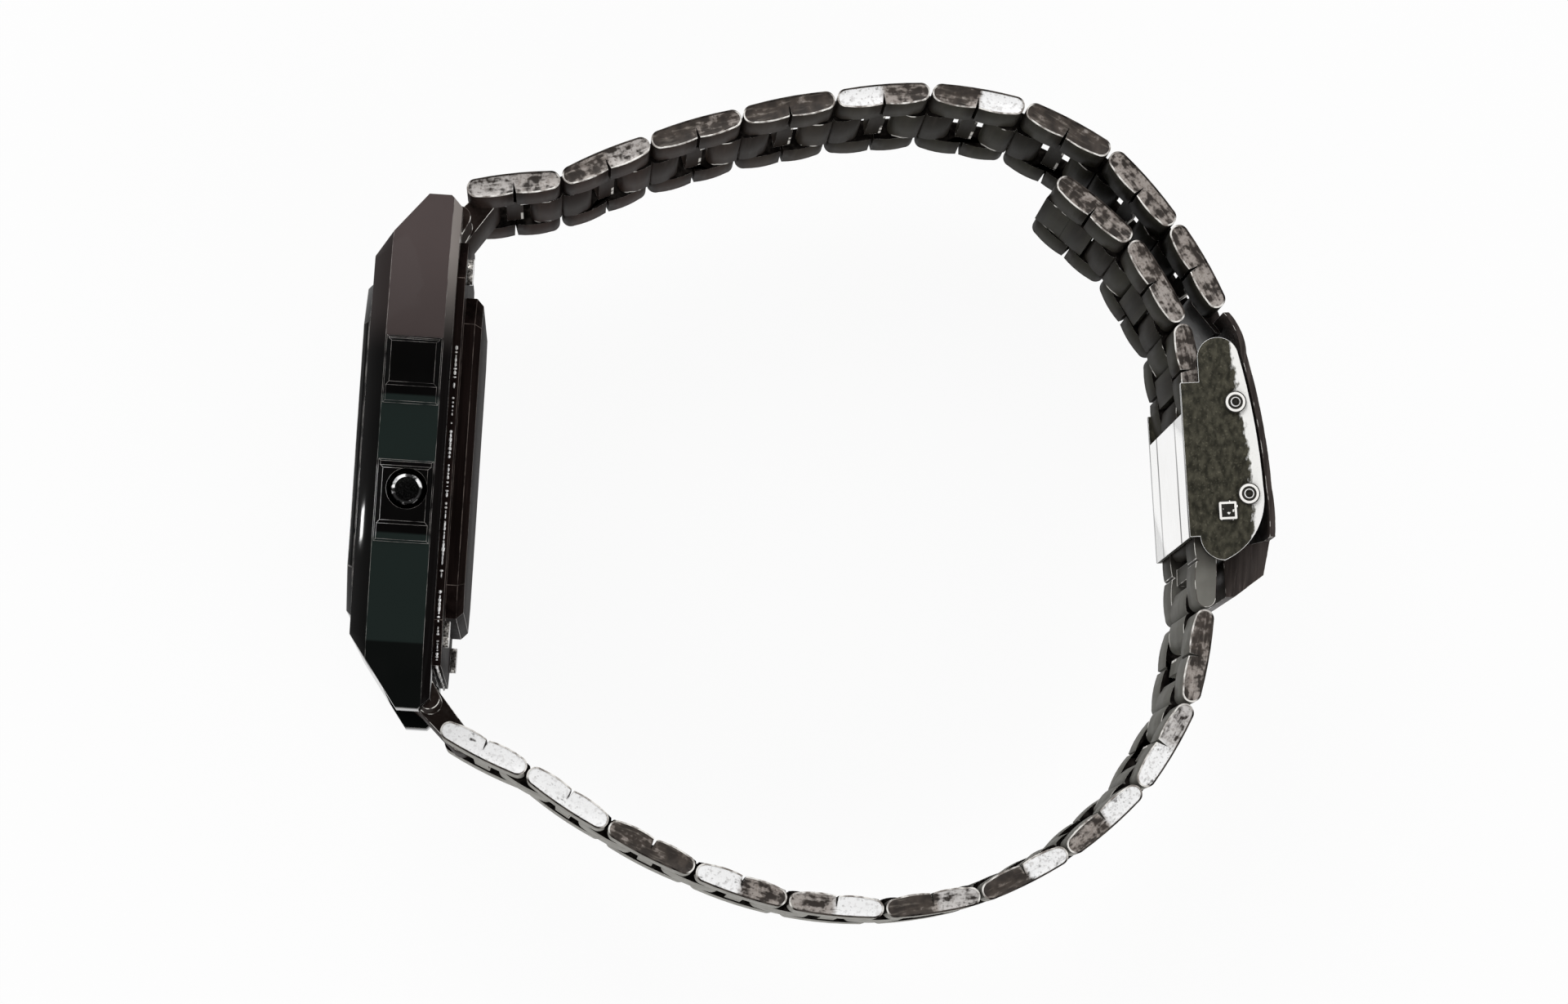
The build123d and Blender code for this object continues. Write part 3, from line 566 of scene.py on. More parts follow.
# %% Dial, display and board finishes
def printed_dial():
    """Satin print with a thin frame line round the display opening."""
    finish = Finish("printed_dial")
    past_end = (finish.axis("Y") + 1.0 * MM).absolute() - 5.3 * MM
    past_side = finish.axis("Z").absolute() - 9.9 * MM
    line = 1 - past_end.math("MAXIMUM", past_side).absolute().past(0.088, 0.132)
    grain = finish.noise(0.1, 3.0)
    base = mixed(grain, "121315", "1c1d20")
    return finish.set(
        Base_Color=mixed(line, base, "9aa0a4"),
        Roughness=0.42 + 0.1 * grain,
        Normal=finish.bump(grain, 0.004, 0.4),
    )


def crystal_display():
    """Grey-green panel with the faint grid of its unlit matrix."""
    finish = Finish("crystal_display")
    turns = math.tau / (0.22 * MM)
    rows = (finish.axis("Y") * turns).math("SINE")
    columns = (finish.axis("Z") * turns).math("SINE")
    grid = rows.math("MAXIMUM", columns).step(0.85, 1.0)
    cloud = finish.noise(4, 2.0)
    base = mixed(cloud, "8f9784", "9ba391")
    return finish.set(
        Base_Color=mixed(grid * 0.25, base, "7d8573"),
        Roughness=0.35 + 0.1 * cloud,
        Normal=finish.bump(cloud, 0.002, 0.2),
    )


def lacquered_board():
    """Green lacquer over copper tracks."""
    finish = Finish("lacquered_board")
    tracks = finish.cells(1.6).step(0.28, 0.34) - finish.cells(1.6).step(0.4, 0.46)
    grain = finish.noise(0.3)
    lacquer = mixed(grain, "12331c", "1a4526")
    return finish.set(
        Base_Color=mixed(tracks.clamped(), lacquer, "3d6b3a"),
        Roughness=0.3 + 0.2 * grain,
        Normal=finish.bump(tracks, 0.02, 0.5),
    )


slot_finishes["dial_print"] = printed_dial()
slot_finishes["display_glass"] = crystal_display()
slot_finishes["board_green"] = lacquered_board()
print("slots with a finish:", len(slot_finishes))

# %% [markdown]
# ## Copies of CAD solids with finished edges
# A CAD solid ends in razor-sharp edges, which no maker leaves, and which never catch a
# highlight. So each outer piece is copied and its loose triangles are merged. A Bevel modifier
# then breaks the edges, and the narrow new faces take a finish of their own. The copy stands
# for the CAD node. It rides on the same body, and stays inside the solid it came from.

# %% Finished copies
def merged_copy(node, name):
    """A copy of a CAD node's mesh with its loose triangles joined and its flat faces whole."""
    mesh = nodes[node].data.copy()
    mesh.name = name
    mesh.materials.clear()
    work = bmesh.new()
    work.from_mesh(mesh)
    bmesh.ops.remove_doubles(work, verts=work.verts, dist=0.002 * MM)
    flat = math.radians(0.5)
    bmesh.ops.dissolve_limit(work, angle_limit=flat, verts=work.verts, edges=work.edges)
    work.to_mesh(mesh)
    work.free()
    return new_object(name, mesh)


def settled(piece):
    """Turn a piece's modifiers into its plain mesh."""
    finished = piece.evaluated_get(bpy.context.evaluated_depsgraph_get())
    mesh = bpy.data.meshes.new_from_object(finished)
    mesh.name = piece.name
    piece.modifiers.clear()
    piece.data = mesh
    return piece


def shaded_smooth(piece, angle):
    """Smooth shading, except over edges sharper than angle."""
    piece.data.shade_smooth()
    piece.data.set_sharp_from_angle(angle=math.radians(angle))


def placed(piece, node_names, smooth=35.0):
    """Let a piece stand for CAD nodes, on their body."""
    shaded_smooth(piece, smooth)
    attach(piece, node_body[node_names[0]])
    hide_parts(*node_names)
    return piece


def broken_edges(piece, edge, width, angle):
    """Bevel the edges sharper than angle, width in millimetres. New faces take the edge finish."""
    piece.data.materials.append(edge)
    bevel = piece.modifiers.new("edges", "BEVEL")
    bevel.width = width * MM
    bevel.segments = 2
    bevel.limit_method = "ANGLE"
    bevel.angle_limit = math.radians(angle)
    bevel.material = len(piece.data.materials) - 1
    return settled(piece)


def finished_copy(node, name, main, edge, width, angle=30.0):
    """A CAD node's copy with bevelled edges, in the node's place."""
    piece = merged_copy(node, name)
    piece.data.materials.append(main)
    broken_edges(piece, edge, width, angle)
    return placed(piece, [node])


case_shell = finished_copy("case_body", "case_shell", smoky, case_edge, 0.09)
bezel_ring = finished_copy("front_bezel", "bezel_ring", bezel, bezel_edge, 0.06)
cover_shell = finished_copy("back_cover", "cover_shell", cover_back, cover_edge, 0.07)
for piece in (case_shell, bezel_ring, cover_shell):
    print(piece.name, "faces:", len(piece.data.polygons))

# %% [markdown]
# ## The links, finished by one Geometry Nodes tree
# Every link is stamped from the same strip and then folded, so one tree finishes them all. It
# joins the loose triangles, finds the two cut edges at the sides of the band, draws each one in
# to leave a rim, and sinks the core a little, as a tumbled stamping looks. It also stores how
# far each half is polished, which faces look away from the wrist, and which faces lie between
# the side plates and take painted shade, for the materials.

# %% The link tree
def new_tree(name, numbers, vectors=(), counts=()):
    """A Geometry Nodes tree with named inputs. The function that comes back reads one of them."""
    tree = bpy.data.node_groups.new(name, "GeometryNodeTree")
    sockets = [("Geometry", "Geometry")]
    sockets += [(label, "Float") for label in numbers]
    sockets += [(label, "Vector") for label in vectors] + [(label, "Int") for label in counts]
    for label, kind in sockets:
        tree.interface.new_socket(name=label, in_out="INPUT", socket_type="NodeSocket" + kind)
    tree.interface.new_socket(name="Geometry", in_out="OUTPUT", socket_type="NodeSocketGeometry")
    return tree, add_node(tree, "NodeGroupInput").also


def finish_tree(tree, geometry, finishes):
    """End a tree: real geometry, and a finish for all of it or for a selection."""
    geometry = add_node(tree, "GeometryNodeRealizeInstances", inputs={"Geometry": geometry})
    for where, finish in finishes:
        inputs = {"Geometry": geometry, "Selection": where, "Material": finish}
        geometry = add_node(tree, "GeometryNodeSetMaterial", inputs=inputs)
    end = tree.nodes.new("NodeGroupOutput")
    tree.links.new(geometry.socket, end.inputs["Geometry"])
    return tree


def vector_math(first, operation, second, output=0, socket=1):
    """A Vector Math node on two values."""
    inputs = {0: first, socket: second}
    return add_node(first.tree, "ShaderNodeVectorMath", {"operation": operation}, inputs, output)


def both(first, second):
    """True where two conditions are."""
    inputs = {0: first, 1: second}
    return add_node(first.tree, "FunctionNodeBooleanMath", {"operation": "AND"}, inputs)


def exceeds(value, limit):
    """True where a number is above a limit."""
    settings = {"data_type": "FLOAT", "operation": "GREATER_THAN"}
    return add_node(value.tree, "FunctionNodeCompare", settings, {0: value, 1: limit})


def extruded(geometry, where, distance):
    """The chosen faces pushed out together."""
    inputs = {"Mesh": geometry, "Selection": where, "Offset Scale": distance, "Individual": False}
    return add_node(geometry.tree, "GeometryNodeExtrudeMesh", {"mode": "FACES"}, inputs)


def link_tree():
    """The tree that finishes the cut edges of a folded link."""
    numbers = ["Merge Distance", "Side Level", "Level Slack", "Half Length", "Half Thickness"]
    numbers += ["Rim Width", "Core Depth", "First Polish", "Second Polish"]
    tree, value = new_tree("Cut edges of a folded link", numbers, ("Middle", "Along", "Outward"))
    inputs = {"Geometry": value("Geometry"), "Distance": value("Merge Distance")}
    joined = add_node(tree, "GeometryNodeMergeByDistance", inputs=inputs)
    normal = add_node(tree, "GeometryNodeInputNormal")
    place = add_node(tree, "GeometryNodeInputPosition")
    side = normal.part("Z").absolute()
    level = place.part("Z").absolute()
    edge_level = value("Side Level") - value("Level Slack")
    cut = both(exceeds(side, 0.98), exceeds(level, edge_level))
    # Faces between the side plates, kept for painted shade.
    recess_shade = both(exceeds(side, 0.9), exceeds(edge_level, level))

    offset = vector_math(place, "SUBTRACT", value("Middle"))
    along = vector_math(offset, "DOT_PRODUCT", value("Along"), "Value")
    outward = vector_math(offset, "DOT_PRODUCT", value("Outward"), "Value")
    looks_out = vector_math(normal, "DOT_PRODUCT", value("Outward"), "Value")
    stored = joined
    for name, number, domain in (
        ("along", along, "POINT"),
        ("across", outward, "POINT"),
        ("first_polish", value("First Polish"), "FACE"),
        ("second_polish", value("Second Polish"), "FACE"),
        ("outside", exceeds(looks_out, 0.35), "FACE"),
        ("recess_shade", recess_shade, "FACE"),
    ):
        settings = {"domain": domain}
        inputs = {"Geometry": stored, "Name": name, "Value": number}
        stored = add_node(tree, "GeometryNodeStoreNamedAttribute", settings, inputs)

    rimmed = extruded(stored, cut, 0.0)
    rim = value("Rim Width") * -1
    by_along = along * rim / value("Half Length")
    by_across = outward * rim / value("Half Thickness")
    drawn_along = vector_math(value("Along"), "SCALE", by_along, socket="Scale")
    drawn_across = vector_math(value("Outward"), "SCALE", by_across, socket="Scale")
    drawn_in = vector_math(drawn_along, "ADD", drawn_across)
    inputs = {"Geometry": rimmed, "Selection": rimmed.also("Top"), "Offset": drawn_in}
    inset = add_node(tree, "GeometryNodeSetPosition", inputs=inputs)
    core = extruded(inset, rimmed.also("Top"), value("Core Depth") * -1)
    finishes = [(None, satin), (rimmed.also("Side"), link_rim), (core.also("Top"), stamped)]
    return finish_tree(tree, core, finishes)


def grown_by(piece, tree, values):
    """Run a tree on a piece. Its inputs are set by the identifiers of their sockets."""
    modifier = piece.modifiers.new("nodes", "NODES")
    modifier.node_group = tree
    for item in tree.interface.items_tree:
        if item.item_type == "SOCKET" and item.in_out == "INPUT" and item.name in values:
            modifier[item.identifier] = values[item.name]
    return settled(piece)


folded_link = link_tree()
print("link tree:", len(folded_link.nodes), "nodes")

# %% [markdown]
# ## Which halves are polished
# A stamping press wears, so some links leave it bright and others dull. The two numbers of each
# link say how bright the first and second half of its cut edges are, from dull at 0 to fully
# burnished at 1. They are chosen one by one. The angles are those that the CAD model gives each
# link in its rest pose, so the tree knows which way a link runs.

# %% Finish every link
PITCH = 6.95 * MM
LINK_SPAN = 3.85 * MM
SIDE_LEVEL = 9.0 * MM
SEAM_DEEPER = 0.62 * MM
BLOCK_SIDE = 4.3 * MM
BLOCK_LEVELS = (-0.72 * MM, 0.3 * MM)
TAIL_BLOCK = (-1.05 * MM, 1.05 * MM)
TAIL_END = (1.0 * MM, 3.36 * MM)
UPPER_ANGLES = (10, 26.5, 20, 14.5, 8.5, -6, -24.5, -46, -57.5)
LOWER_ANGLES = (-23.5, -30.5, -23.5, -15, -2, 12, 30, 44.5, 62.5, 83)
TAIL_ANGLES = (103, 124, 143)
UPPER_POLISH = [(0.62, 0.58), (0.42, 0.6), (0.12, 0.32), (0.1, 0.15), (0.85, 0.4)]
UPPER_POLISH += [(0.2, 0.9), (0.12, 0.1), (0.52, 0.5), (0.5, 0.52)]
LOWER_POLISH = [(1.0, 1.0), (1.0, 1.0), (0.3, 0.15), (0.85, 0.5), (0.55, 0.95)]
LOWER_POLISH += [(0.1, 0.65), (0.15, 0.85), (0.45, 0.85), (0.85, 0.65), (0.5, 0.3)]
TAIL_POLISH = [(0.5, 0.45), (0.55, 0.45), (0.5, 0.4)]


def hinge_point(name):
    """Where a joint turns, in metres."""
    return Vector(hinges[name]["pos_m"])


def add_block(mesh, middle, along, outward, start, end):
    """Add a folded block between the side plates, from start to end along the link."""
    work = bmesh.new()
    work.from_mesh(mesh)
    sides = (-BLOCK_SIDE, BLOCK_SIDE)
    corners = [(a, b, c) for a in (start, end) for b in BLOCK_LEVELS for c in sides]
    points = [middle + along * a + outward * b + Vector((0, 0, c)) for a, b, c in corners]
    box = bmesh.ops.convex_hull(work, input=[work.verts.new(point) for point in points])
    faces = [part for part in box["geom"] if isinstance(part, bmesh.types.BMFace)]
    bmesh.ops.recalc_face_normals(work, faces=faces)
    work.to_mesh(mesh)
    work.free()


def finish_link(node, pin, angle, outward_side, polish, blocks=()):
    """Run the link tree on one link and put the result in the CAD node's place."""
    along = Vector((math.cos(math.radians(angle)), math.sin(math.radians(angle)), 0.0))
    outward = Vector((-along.y, along.x, 0.0)) * outward_side
    middle = pin + along * (LINK_SPAN / 2)
    piece = merged_copy(node, node + "_finished")
    for vertex in piece.data.vertices:
        offset = vertex.co - middle
        in_middle = abs(offset.dot(along)) < 0.02 * MM
        in_side_plate = 0.3 * MM < -offset.dot(outward) < 0.75 * MM and abs(offset.z) > BLOCK_SIDE
        if in_middle and in_side_plate:
            vertex.co += outward * SEAM_DEEPER
    for start, end in blocks:
        add_block(piece.data, middle, along, outward, start, end)
    values = {
        "Merge Distance": 0.002 * MM,
        "Side Level": SIDE_LEVEL,
        "Level Slack": 0.05 * MM,
        "Half Length": PITCH / 2,
        "Half Thickness": 0.8 * MM,
        "Rim Width": 0.12 * MM,
        "Core Depth": 0.04 * MM,
        "First Polish": polish[0],
        "Second Polish": polish[1],
        "Middle": middle,
        "Along": along,
        "Outward": outward,
    }
    grown_by(piece, folded_link, values)
    broken_edges(piece, fold_rim, 0.08, 50.0)
    return placed(piece, [node], 40.0)


links = []
for run, angles, side, levels in (
    ("upper", UPPER_ANGLES, 1, UPPER_POLISH),
    ("lower", LOWER_ANGLES, -1, LOWER_POLISH),
    ("tail", TAIL_ANGLES, -1, TAIL_POLISH),
):
    for i, angle in enumerate(angles):
        node = f"{run}_link_{i + 1}"
        blocks = [TAIL_BLOCK] if run == "tail" else []
        if run == "tail" and i + 1 == len(angles):
            blocks.append(TAIL_END)
        pin = hinge_point(node + "_hinge")
        links.append(finish_link(node, pin, angle, side, levels[i], blocks))
print("links:", len(links), "faces:", sum(len(link.data.polygons) for link in links))

# %% [markdown]
# ## The clasp: side plates with a ground outer edge
# A clasp frame is bent from one strip. Its side plates are coarsely brushed, and the outer
# edge, which a sleeve would catch, is ground bright. The ground part is drawn by the material:
# the distance to a bowed line along the edge, made ragged with noise, says where it ends. In
# the same way, distances to the middles of the cross bars draw the rings on their heads.

# %% Clasp pieces
CLASP_BAR_UV = (2.65 * MM, 7.8 * MM)
LOWER_BAR_UV = (3.2 * MM, 1.1 * MM)
SQUARE_UV = (1.595 * MM, -0.045 * MM)
LIP_INNER_U = 1.7 * MM
LIP_TOP_V = -4.0 * MM
LIP_SLACK = 0.2 * MM
LIP_RISE = 1.3 * MM
EDGE_TOP_U = 4.32 * MM
EDGE_TOP_V = 1.0 * MM
EDGE_BOW = 0.0115 / MM
clasp_u = Vector((math.cos(CLASP_ANGLE), math.sin(CLASP_ANGLE), 0.0))
clasp_v = Vector((-math.sin(CLASP_ANGLE), math.cos(CLASP_ANGLE), 0.0))
clasp_zero = hinge_point("lock_plate_hinge")
clasp_zero = clasp_zero - clasp_u * CLASP_BAR_UV[0] - clasp_v * CLASP_BAR_UV[1]


def clasp_place(finish):
    """How far a surface point is out from the wrist, and along the band, as two wires."""
    x, y = finish.axis("X") - clasp_zero.x, finish.axis("Y") - clasp_zero.y
    return x * clasp_u.x + y * clasp_u.y, x * clasp_v.x + y * clasp_v.y


def ground_side():
    """The side plate: coarse brushed sheet, ground bright along its outer edge."""
    finish = Finish("clasp_side")
    out, band = clasp_place(finish)
    band = band - EDGE_TOP_V
    from_edge = EDGE_TOP_U - EDGE_BOW * band * band - out
    coarse = finish.noise(0.4, 5.0, finish.stretched((1.0, 0.6, 1.0), CLASP_ANGLE))
    fleck = finish.noise(0.16, 5.0).step(0.56, 0.72)
    ragged = from_edge + (coarse - 0.5) * 1.1 * MM
    taper = band.absolute().past(7.0, 12.5) * 0.6 * MM
    ground = 1 - (ragged + taper).past(0.72, 0.98)
    grain = (coarse.step(0.3, 0.75) * 0.6 + fleck * 0.5).clamped()
    return finish.set(
        Base_Color=mixed(ground, mixed(grain, "26251e", "5c594c"), "f6f5f2"),
        Roughness=0.42 + 0.25 * coarse - 0.2 * ground,
        Metallic=0.1,
        Normal=finish.bump(coarse + fleck, 0.02, 0.6),
        Specular_IOR_Level=0.1,
    )


def ringed_head():
    """The heads of the cross bars: dark, with a bright ring that the riveting tool left, and
    painted glints inside the square head.
    """
    finish = Finish("ringed_head")
    out, band = clasp_place(finish)
    wear_and_glint = finish.noise(0.35, 3.0)
    from_bars = []
    for u, v in (CLASP_BAR_UV, LOWER_BAR_UV):
        across, up = out - u, band - v
        from_bars.append((across * across + up * up).math("SQRT"))
    from_bar = from_bars[0].math("MINIMUM", from_bars[1])
    across, up = out - SQUARE_UV[0], band - SQUARE_UV[1]
    from_square = across.absolute().math("MAXIMUM", up.absolute())
    round_ring = from_bar.band(0.52, 0.56, 0.7, 0.73)
    square_ring = from_square.band(0.46, 0.49, 0.62, 0.65)
    in_square = 1 - from_square.past(0.78, 0.8)
    ring = in_square * square_ring + (1 - in_square) * round_ring
    # Painted glints: white marks inside the square head.
    ring = (ring + in_square * wear_and_glint.step(0.6, 0.64)).clamped()
    return finish.set(
        Base_Color=mixed(ring, mixed(wear_and_glint, "12110f", "35332e"), "f4f2ee"),
        Roughness=0.3 + 0.2 * wear_and_glint,
        Normal=finish.bump(wear_and_glint, 0.01, 0.5),
        Specular_IOR_Level=0.2,
    )


clasp_sides = finished_copy("clasp_frame", "clasp_sides", ground_side(), clasp_rim, 0.08)
clasp_sides.data.materials.append(clasp_floor)
for polygon in clasp_sides.data.polygons:
    if polygon.normal.dot(clasp_u) < -0.5:
        polygon.material_index = 2
clasp_lid = finished_copy("clasp_cover", "clasp_lid", clasp_outer, fold_rim, 0.06)
for vertex in clasp_lid.data.vertices:
    offset = vertex.co - clasp_zero
    if offset.dot(clasp_u) < LIP_INNER_U and abs(offset.dot(clasp_v) - LIP_TOP_V) < LIP_SLACK:
        vertex.co += clasp_v * LIP_RISE
clasp_pins = finished_copy("clasp_bars", "clasp_pins", ringed_head(), rivet_face, 0.08)
lock_flap = finished_copy("lock_plate", "lock_flap", clasp_outer, fold_rim, 0.05)
for piece in (clasp_sides, clasp_lid, clasp_pins, lock_flap):
    print(piece.name, "faces:", len(piece.data.polygons))

# %% [markdown]
# ## Rivet heads
# A rivet's head is round, so it is a stack of rings. The tree below takes one disc through a
# list of steps, each a height and a width, and sets the result on every point of a mesh. Each
# point says which way its head faces. The same tree later makes the bars of the digits.

# %% The head tree
def head_tree(name, steps, bright, dark):
    """A tree that turns a head from steps of (height share, width share, is dark)."""
    tree, value = new_tree(name, ("Radius", "Height"), counts=("Corners",))
    inputs = {"Vertices": value("Corners"), "Radius": value("Radius")}
    disc = add_node(tree, "GeometryNodeMeshCircle", {"fill_type": "NGON"}, inputs)
    inputs = {"Geometry": disc, "Material": bright}
    body, top = add_node(tree, "GeometryNodeSetMaterial", inputs=inputs), None
    for height, width, is_dark in steps:
        body = extruded(body, top, value("Height") * height)
        top, sides = body.also("Top"), body.also("Side")
        inputs = {"Geometry": body, "Selection": top, "Scale": width}
        body = add_node(tree, "GeometryNodeScaleElements", {"domain": "FACE"}, inputs)
        for faces in (top, sides):
            inputs = {"Geometry": body, "Selection": faces, "Material": dark if is_dark else bright}
            body = add_node(tree, "GeometryNodeSetMaterial", inputs=inputs)
    vector = {"data_type": "FLOAT_VECTOR"}
    turn = add_node(tree, "GeometryNodeInputNamedAttribute", vector, {"Name": "turn"})
    stretch = add_node(tree, "GeometryNodeInputNamedAttribute", vector, {"Name": "stretch"})
    inputs = {"Points": value("Geometry"), "Instance": body, "Rotation": turn, "Scale": stretch}
    return finish_tree(tree, add_node(tree, "GeometryNodeInstanceOnPoints", inputs=inputs), [])


def grown(name, tree, places, values, body):
    """Run a tree on points, each with a place, a turn and a stretch, and keep a plain mesh."""
    mesh = bpy.data.meshes.new(name)
    mesh.from_pydata([place for place, turn, stretch in places], [], [])
    for label, index in (("turn", 1), ("stretch", 2)):
        attribute = mesh.attributes.new(label, "FLOAT_VECTOR", "POINT")
        for i, entry in enumerate(places):
            attribute.data[i].vector = entry[index]
    piece = grown_by(new_object(name, mesh), tree, values)
    shaded_smooth(piece, 30.0)
    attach(piece, body)
    print(name, "faces:", len(piece.data.polygons))


CLASP_SIDE = 9.65 * MM
rivet_steps = [(0.8, 1.0, False), (0.2, 0.8, False), (0.0, 0.7, True), (-0.4, 0.9, True)]
rivet_tree = head_tree("Ringed rivet head", rivet_steps, clasp_rim, rivet_face)
rivet_places = []
for u, v in (CLASP_BAR_UV, LOWER_BAR_UV):
    for side in (-1, 1):
        spot = clasp_zero + clasp_u * u + clasp_v * v + Vector((0, 0, side * CLASP_SIDE))
        turn = (0.0 if side > 0 else math.pi, 0.0, 0.0)
        rivet_places.append((spot, turn, (1.0, 1.0, 1.0)))
rivet_size = {"Radius": 0.36 * MM, "Height": 0.32 * MM, "Corners": 24}
grown("clasp_rivets", rivet_tree, rivet_places, rivet_size, "clasp_frame")

# %% [markdown]
# ## Beads along the back cover's edge
# The cover plate is blanked by a press, which leaves a torn edge. Small white beads set along
# its outline are painted glints: they give that edge a broken line of light. The outline is a
# closed curve through eight corners, and a tree sets a bead at most steps along it, dropping
# some at random and all above a given height, each a little different.

# %% Edge beads
def bead_tree():
    """Beads along a closed curve, with a seed for their sizes and turns."""
    numbers = ("Spacing", "Bead Radius", "Share", "Glints Below")
    tree, value = new_tree("Beads along an edge", numbers, counts=("Seed",))
    outline = add_node(tree, "GeometryNodeMeshToCurve", inputs={"Mesh": value("Geometry")})
    inputs = {"Curve": outline, "Length": value("Spacing")}
    points = add_node(tree, "GeometryNodeCurveToPoints", {"mode": "LENGTH"}, inputs)
    inputs = {"Radius": value("Bead Radius"), "Subdivisions": 1}
    bead = add_node(tree, "GeometryNodeMeshIcoSphere", inputs=inputs)

    vector = {"data_type": "FLOAT_VECTOR"}
    inputs = {"Min": (0.4, 0.15, 0.15), "Max": (1.0, 2.0, 2.0), "Seed": value("Seed")}
    size = add_node(tree, "FunctionNodeRandomValue", vector, inputs)
    inputs = {"Min": (0.0, 0.0, 0.0), "Max": (math.tau, 0.0, 0.0), "Seed": value("Seed") + 1}
    turn = add_node(tree, "FunctionNodeRandomValue", vector, inputs)
    inputs = {"Probability": value("Share"), "Seed": value("Seed") + 2}
    kept = add_node(tree, "FunctionNodeRandomValue", {"data_type": "BOOLEAN"}, inputs, 3)
    # The white beads are painted glints, kept only below a height.
    height = add_node(tree, "GeometryNodeInputPosition").part("Y")
    kept = both(kept, exceeds(value("Glints Below"), height))
    inputs = {"Points": points, "Selection": kept, "Instance": bead}
    inputs |= {"Rotation": turn, "Scale": size}
    beads = add_node(tree, "GeometryNodeInstanceOnPoints", inputs=inputs)
    return finish_tree(tree, beads, [(None, clasp_rim)])


COVER_CORNER = 3.0 * MM
cover_low, cover_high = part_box("back_cover")
bead_level = cover_low.x + 0.3 * MM
y, z = cover_high.y, cover_high.z
ring = [(y, z - COVER_CORNER), (y - COVER_CORNER, z)]
ring += [(-b, a) for b, a in reversed(ring)]
ring += [(-b, -a) for b, a in ring]
mesh = bpy.data.meshes.new("cover_edge_beads")
mesh.from_pydata([(bead_level, b, a) for b, a in ring], [(i, (i + 1) % 8) for i in range(8)], [])
bead_values = {"Spacing": 0.3 * MM, "Bead Radius": 0.15 * MM, "Share": 0.7, "Seed": 7}
bead_values["Glints Below"] = 7.3 * MM
edge_beads = grown_by(new_object("cover_edge_beads", mesh), bead_tree(), bead_values)
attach(edge_beads, "head")
print("edge beads, faces:", len(edge_beads.data.polygons))

# %% [markdown]
# ## Digits of the display
# A liquid crystal digit is seven bars, switched on or off. One tree sets a bar with pointed
# ends on every point. A table says which bars each digit lights, and Python works
# out the place and turn of each bar. The time shown is an ordinary one.

# %% Digits
BARS = {"0": "abcdef", "1": "bc", "2": "abged", "3": "abgcd", "6": "afgedc", "8": "abcdefg"}
INK_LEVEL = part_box("display_panel")[0].x - 0.005 * MM
FACE_TURN = Matrix.Rotation(math.radians(-90), 3, "Y")


def digit_bars(digit, centre_y, centre_z, height):
    """The places of the lit bars of one digit, facing out of the dial."""
    half, wide = height / 4, height * 0.24
    spots = {"a": (2 * half, 0, 0), "g": (0, 0, 0), "d": (-2 * half, 0, 0)}
    spots |= {"f": (half, -wide, 1), "b": (half, wide, 1)}
    spots |= {"e": (-half, -wide, 1), "c": (-half, wide, 1)}
    found = []
    for bar in BARS[digit]:
        y, z, upright = spots[bar]
        turn = (FACE_TURN @ Matrix.Rotation(math.radians(90 * upright), 3, "Z")).to_euler()
        spot = (INK_LEVEL, centre_y + y, centre_z + z)
        found.append((spot, tuple(turn), (height * 0.2 / MM, height * 0.035 / MM, 1.0)))
    return found


digit_ink = plain_grain("digit_ink", "20241f", "2b302a", 0.3, 0.4)
bar_tree = head_tree("Display bar", [(1.0, 1.0, False)], digit_ink, digit_ink)
bars = []
for digit, z in (("1", -5.9), ("0", -2.6), ("3", 1.6), ("6", 4.9)):
    bars += digit_bars(digit, -1.2 * MM, z * MM, 4.6 * MM)
for digit, z in (("2", 6.9), ("8", 8.1)):
    bars += digit_bars(digit, -2.6 * MM, z * MM, 1.8 * MM)
for y in (-0.4, -2.0):
    bars.append(((INK_LEVEL, y * MM, -0.5 * MM), tuple(FACE_TURN.to_euler()), (0.3, 0.3, 1.0)))
bar_size = {"Radius": 1.0 * MM, "Height": 0.03 * MM, "Corners": 6}
grown("display_digits", bar_tree, bars, bar_size, "head")

# %% [markdown]
# ## Everything else
# Buttons get an edge bright in places, partly rubbed and partly painted highlight, and the end
# pieces and held links the finish of the links. The remaining CAD solids have the right shape
# already, most of them inside the case, so each only takes the finish of its slot.

# %% Buttons and remaining nodes
for name in ("light_button", "mode_button", "adjust_button"):
    finished_copy(name, name + "_cap", button_metal, button_rim, 0.16)
finished_copy("back_screws", "cover_screws", screw_metal, clasp_rim, 0.06)
for node in ("held_links", "upper_end_piece", "lower_end_piece"):
    finished_copy(node, node + "_finished", satin, fold_rim, 0.06, angle=50.0)

for node, thing in nodes.items():
    if not thing.hide_render:
        thing.data.materials.clear()
        thing.data.materials.append(slot_finishes[node_slot[node]])
print("CAD nodes kept:", sum(not thing.hide_render for thing in nodes.values()))

# %% [markdown]
# ## Floor, light and camera
# The photograph looks straight down on a watch that lies on its side on a white table. So the
# floor is a plain pale sheet just under it, and the camera hangs above. The floor shows the
# camera a part of its own light, which makes it white, and keeps the soft shadow. Two large
# lamps and an even sky give plain light. The sky is darker straight overhead, where the camera
# and the ceiling would be, and dark gloss needs that to look dark.

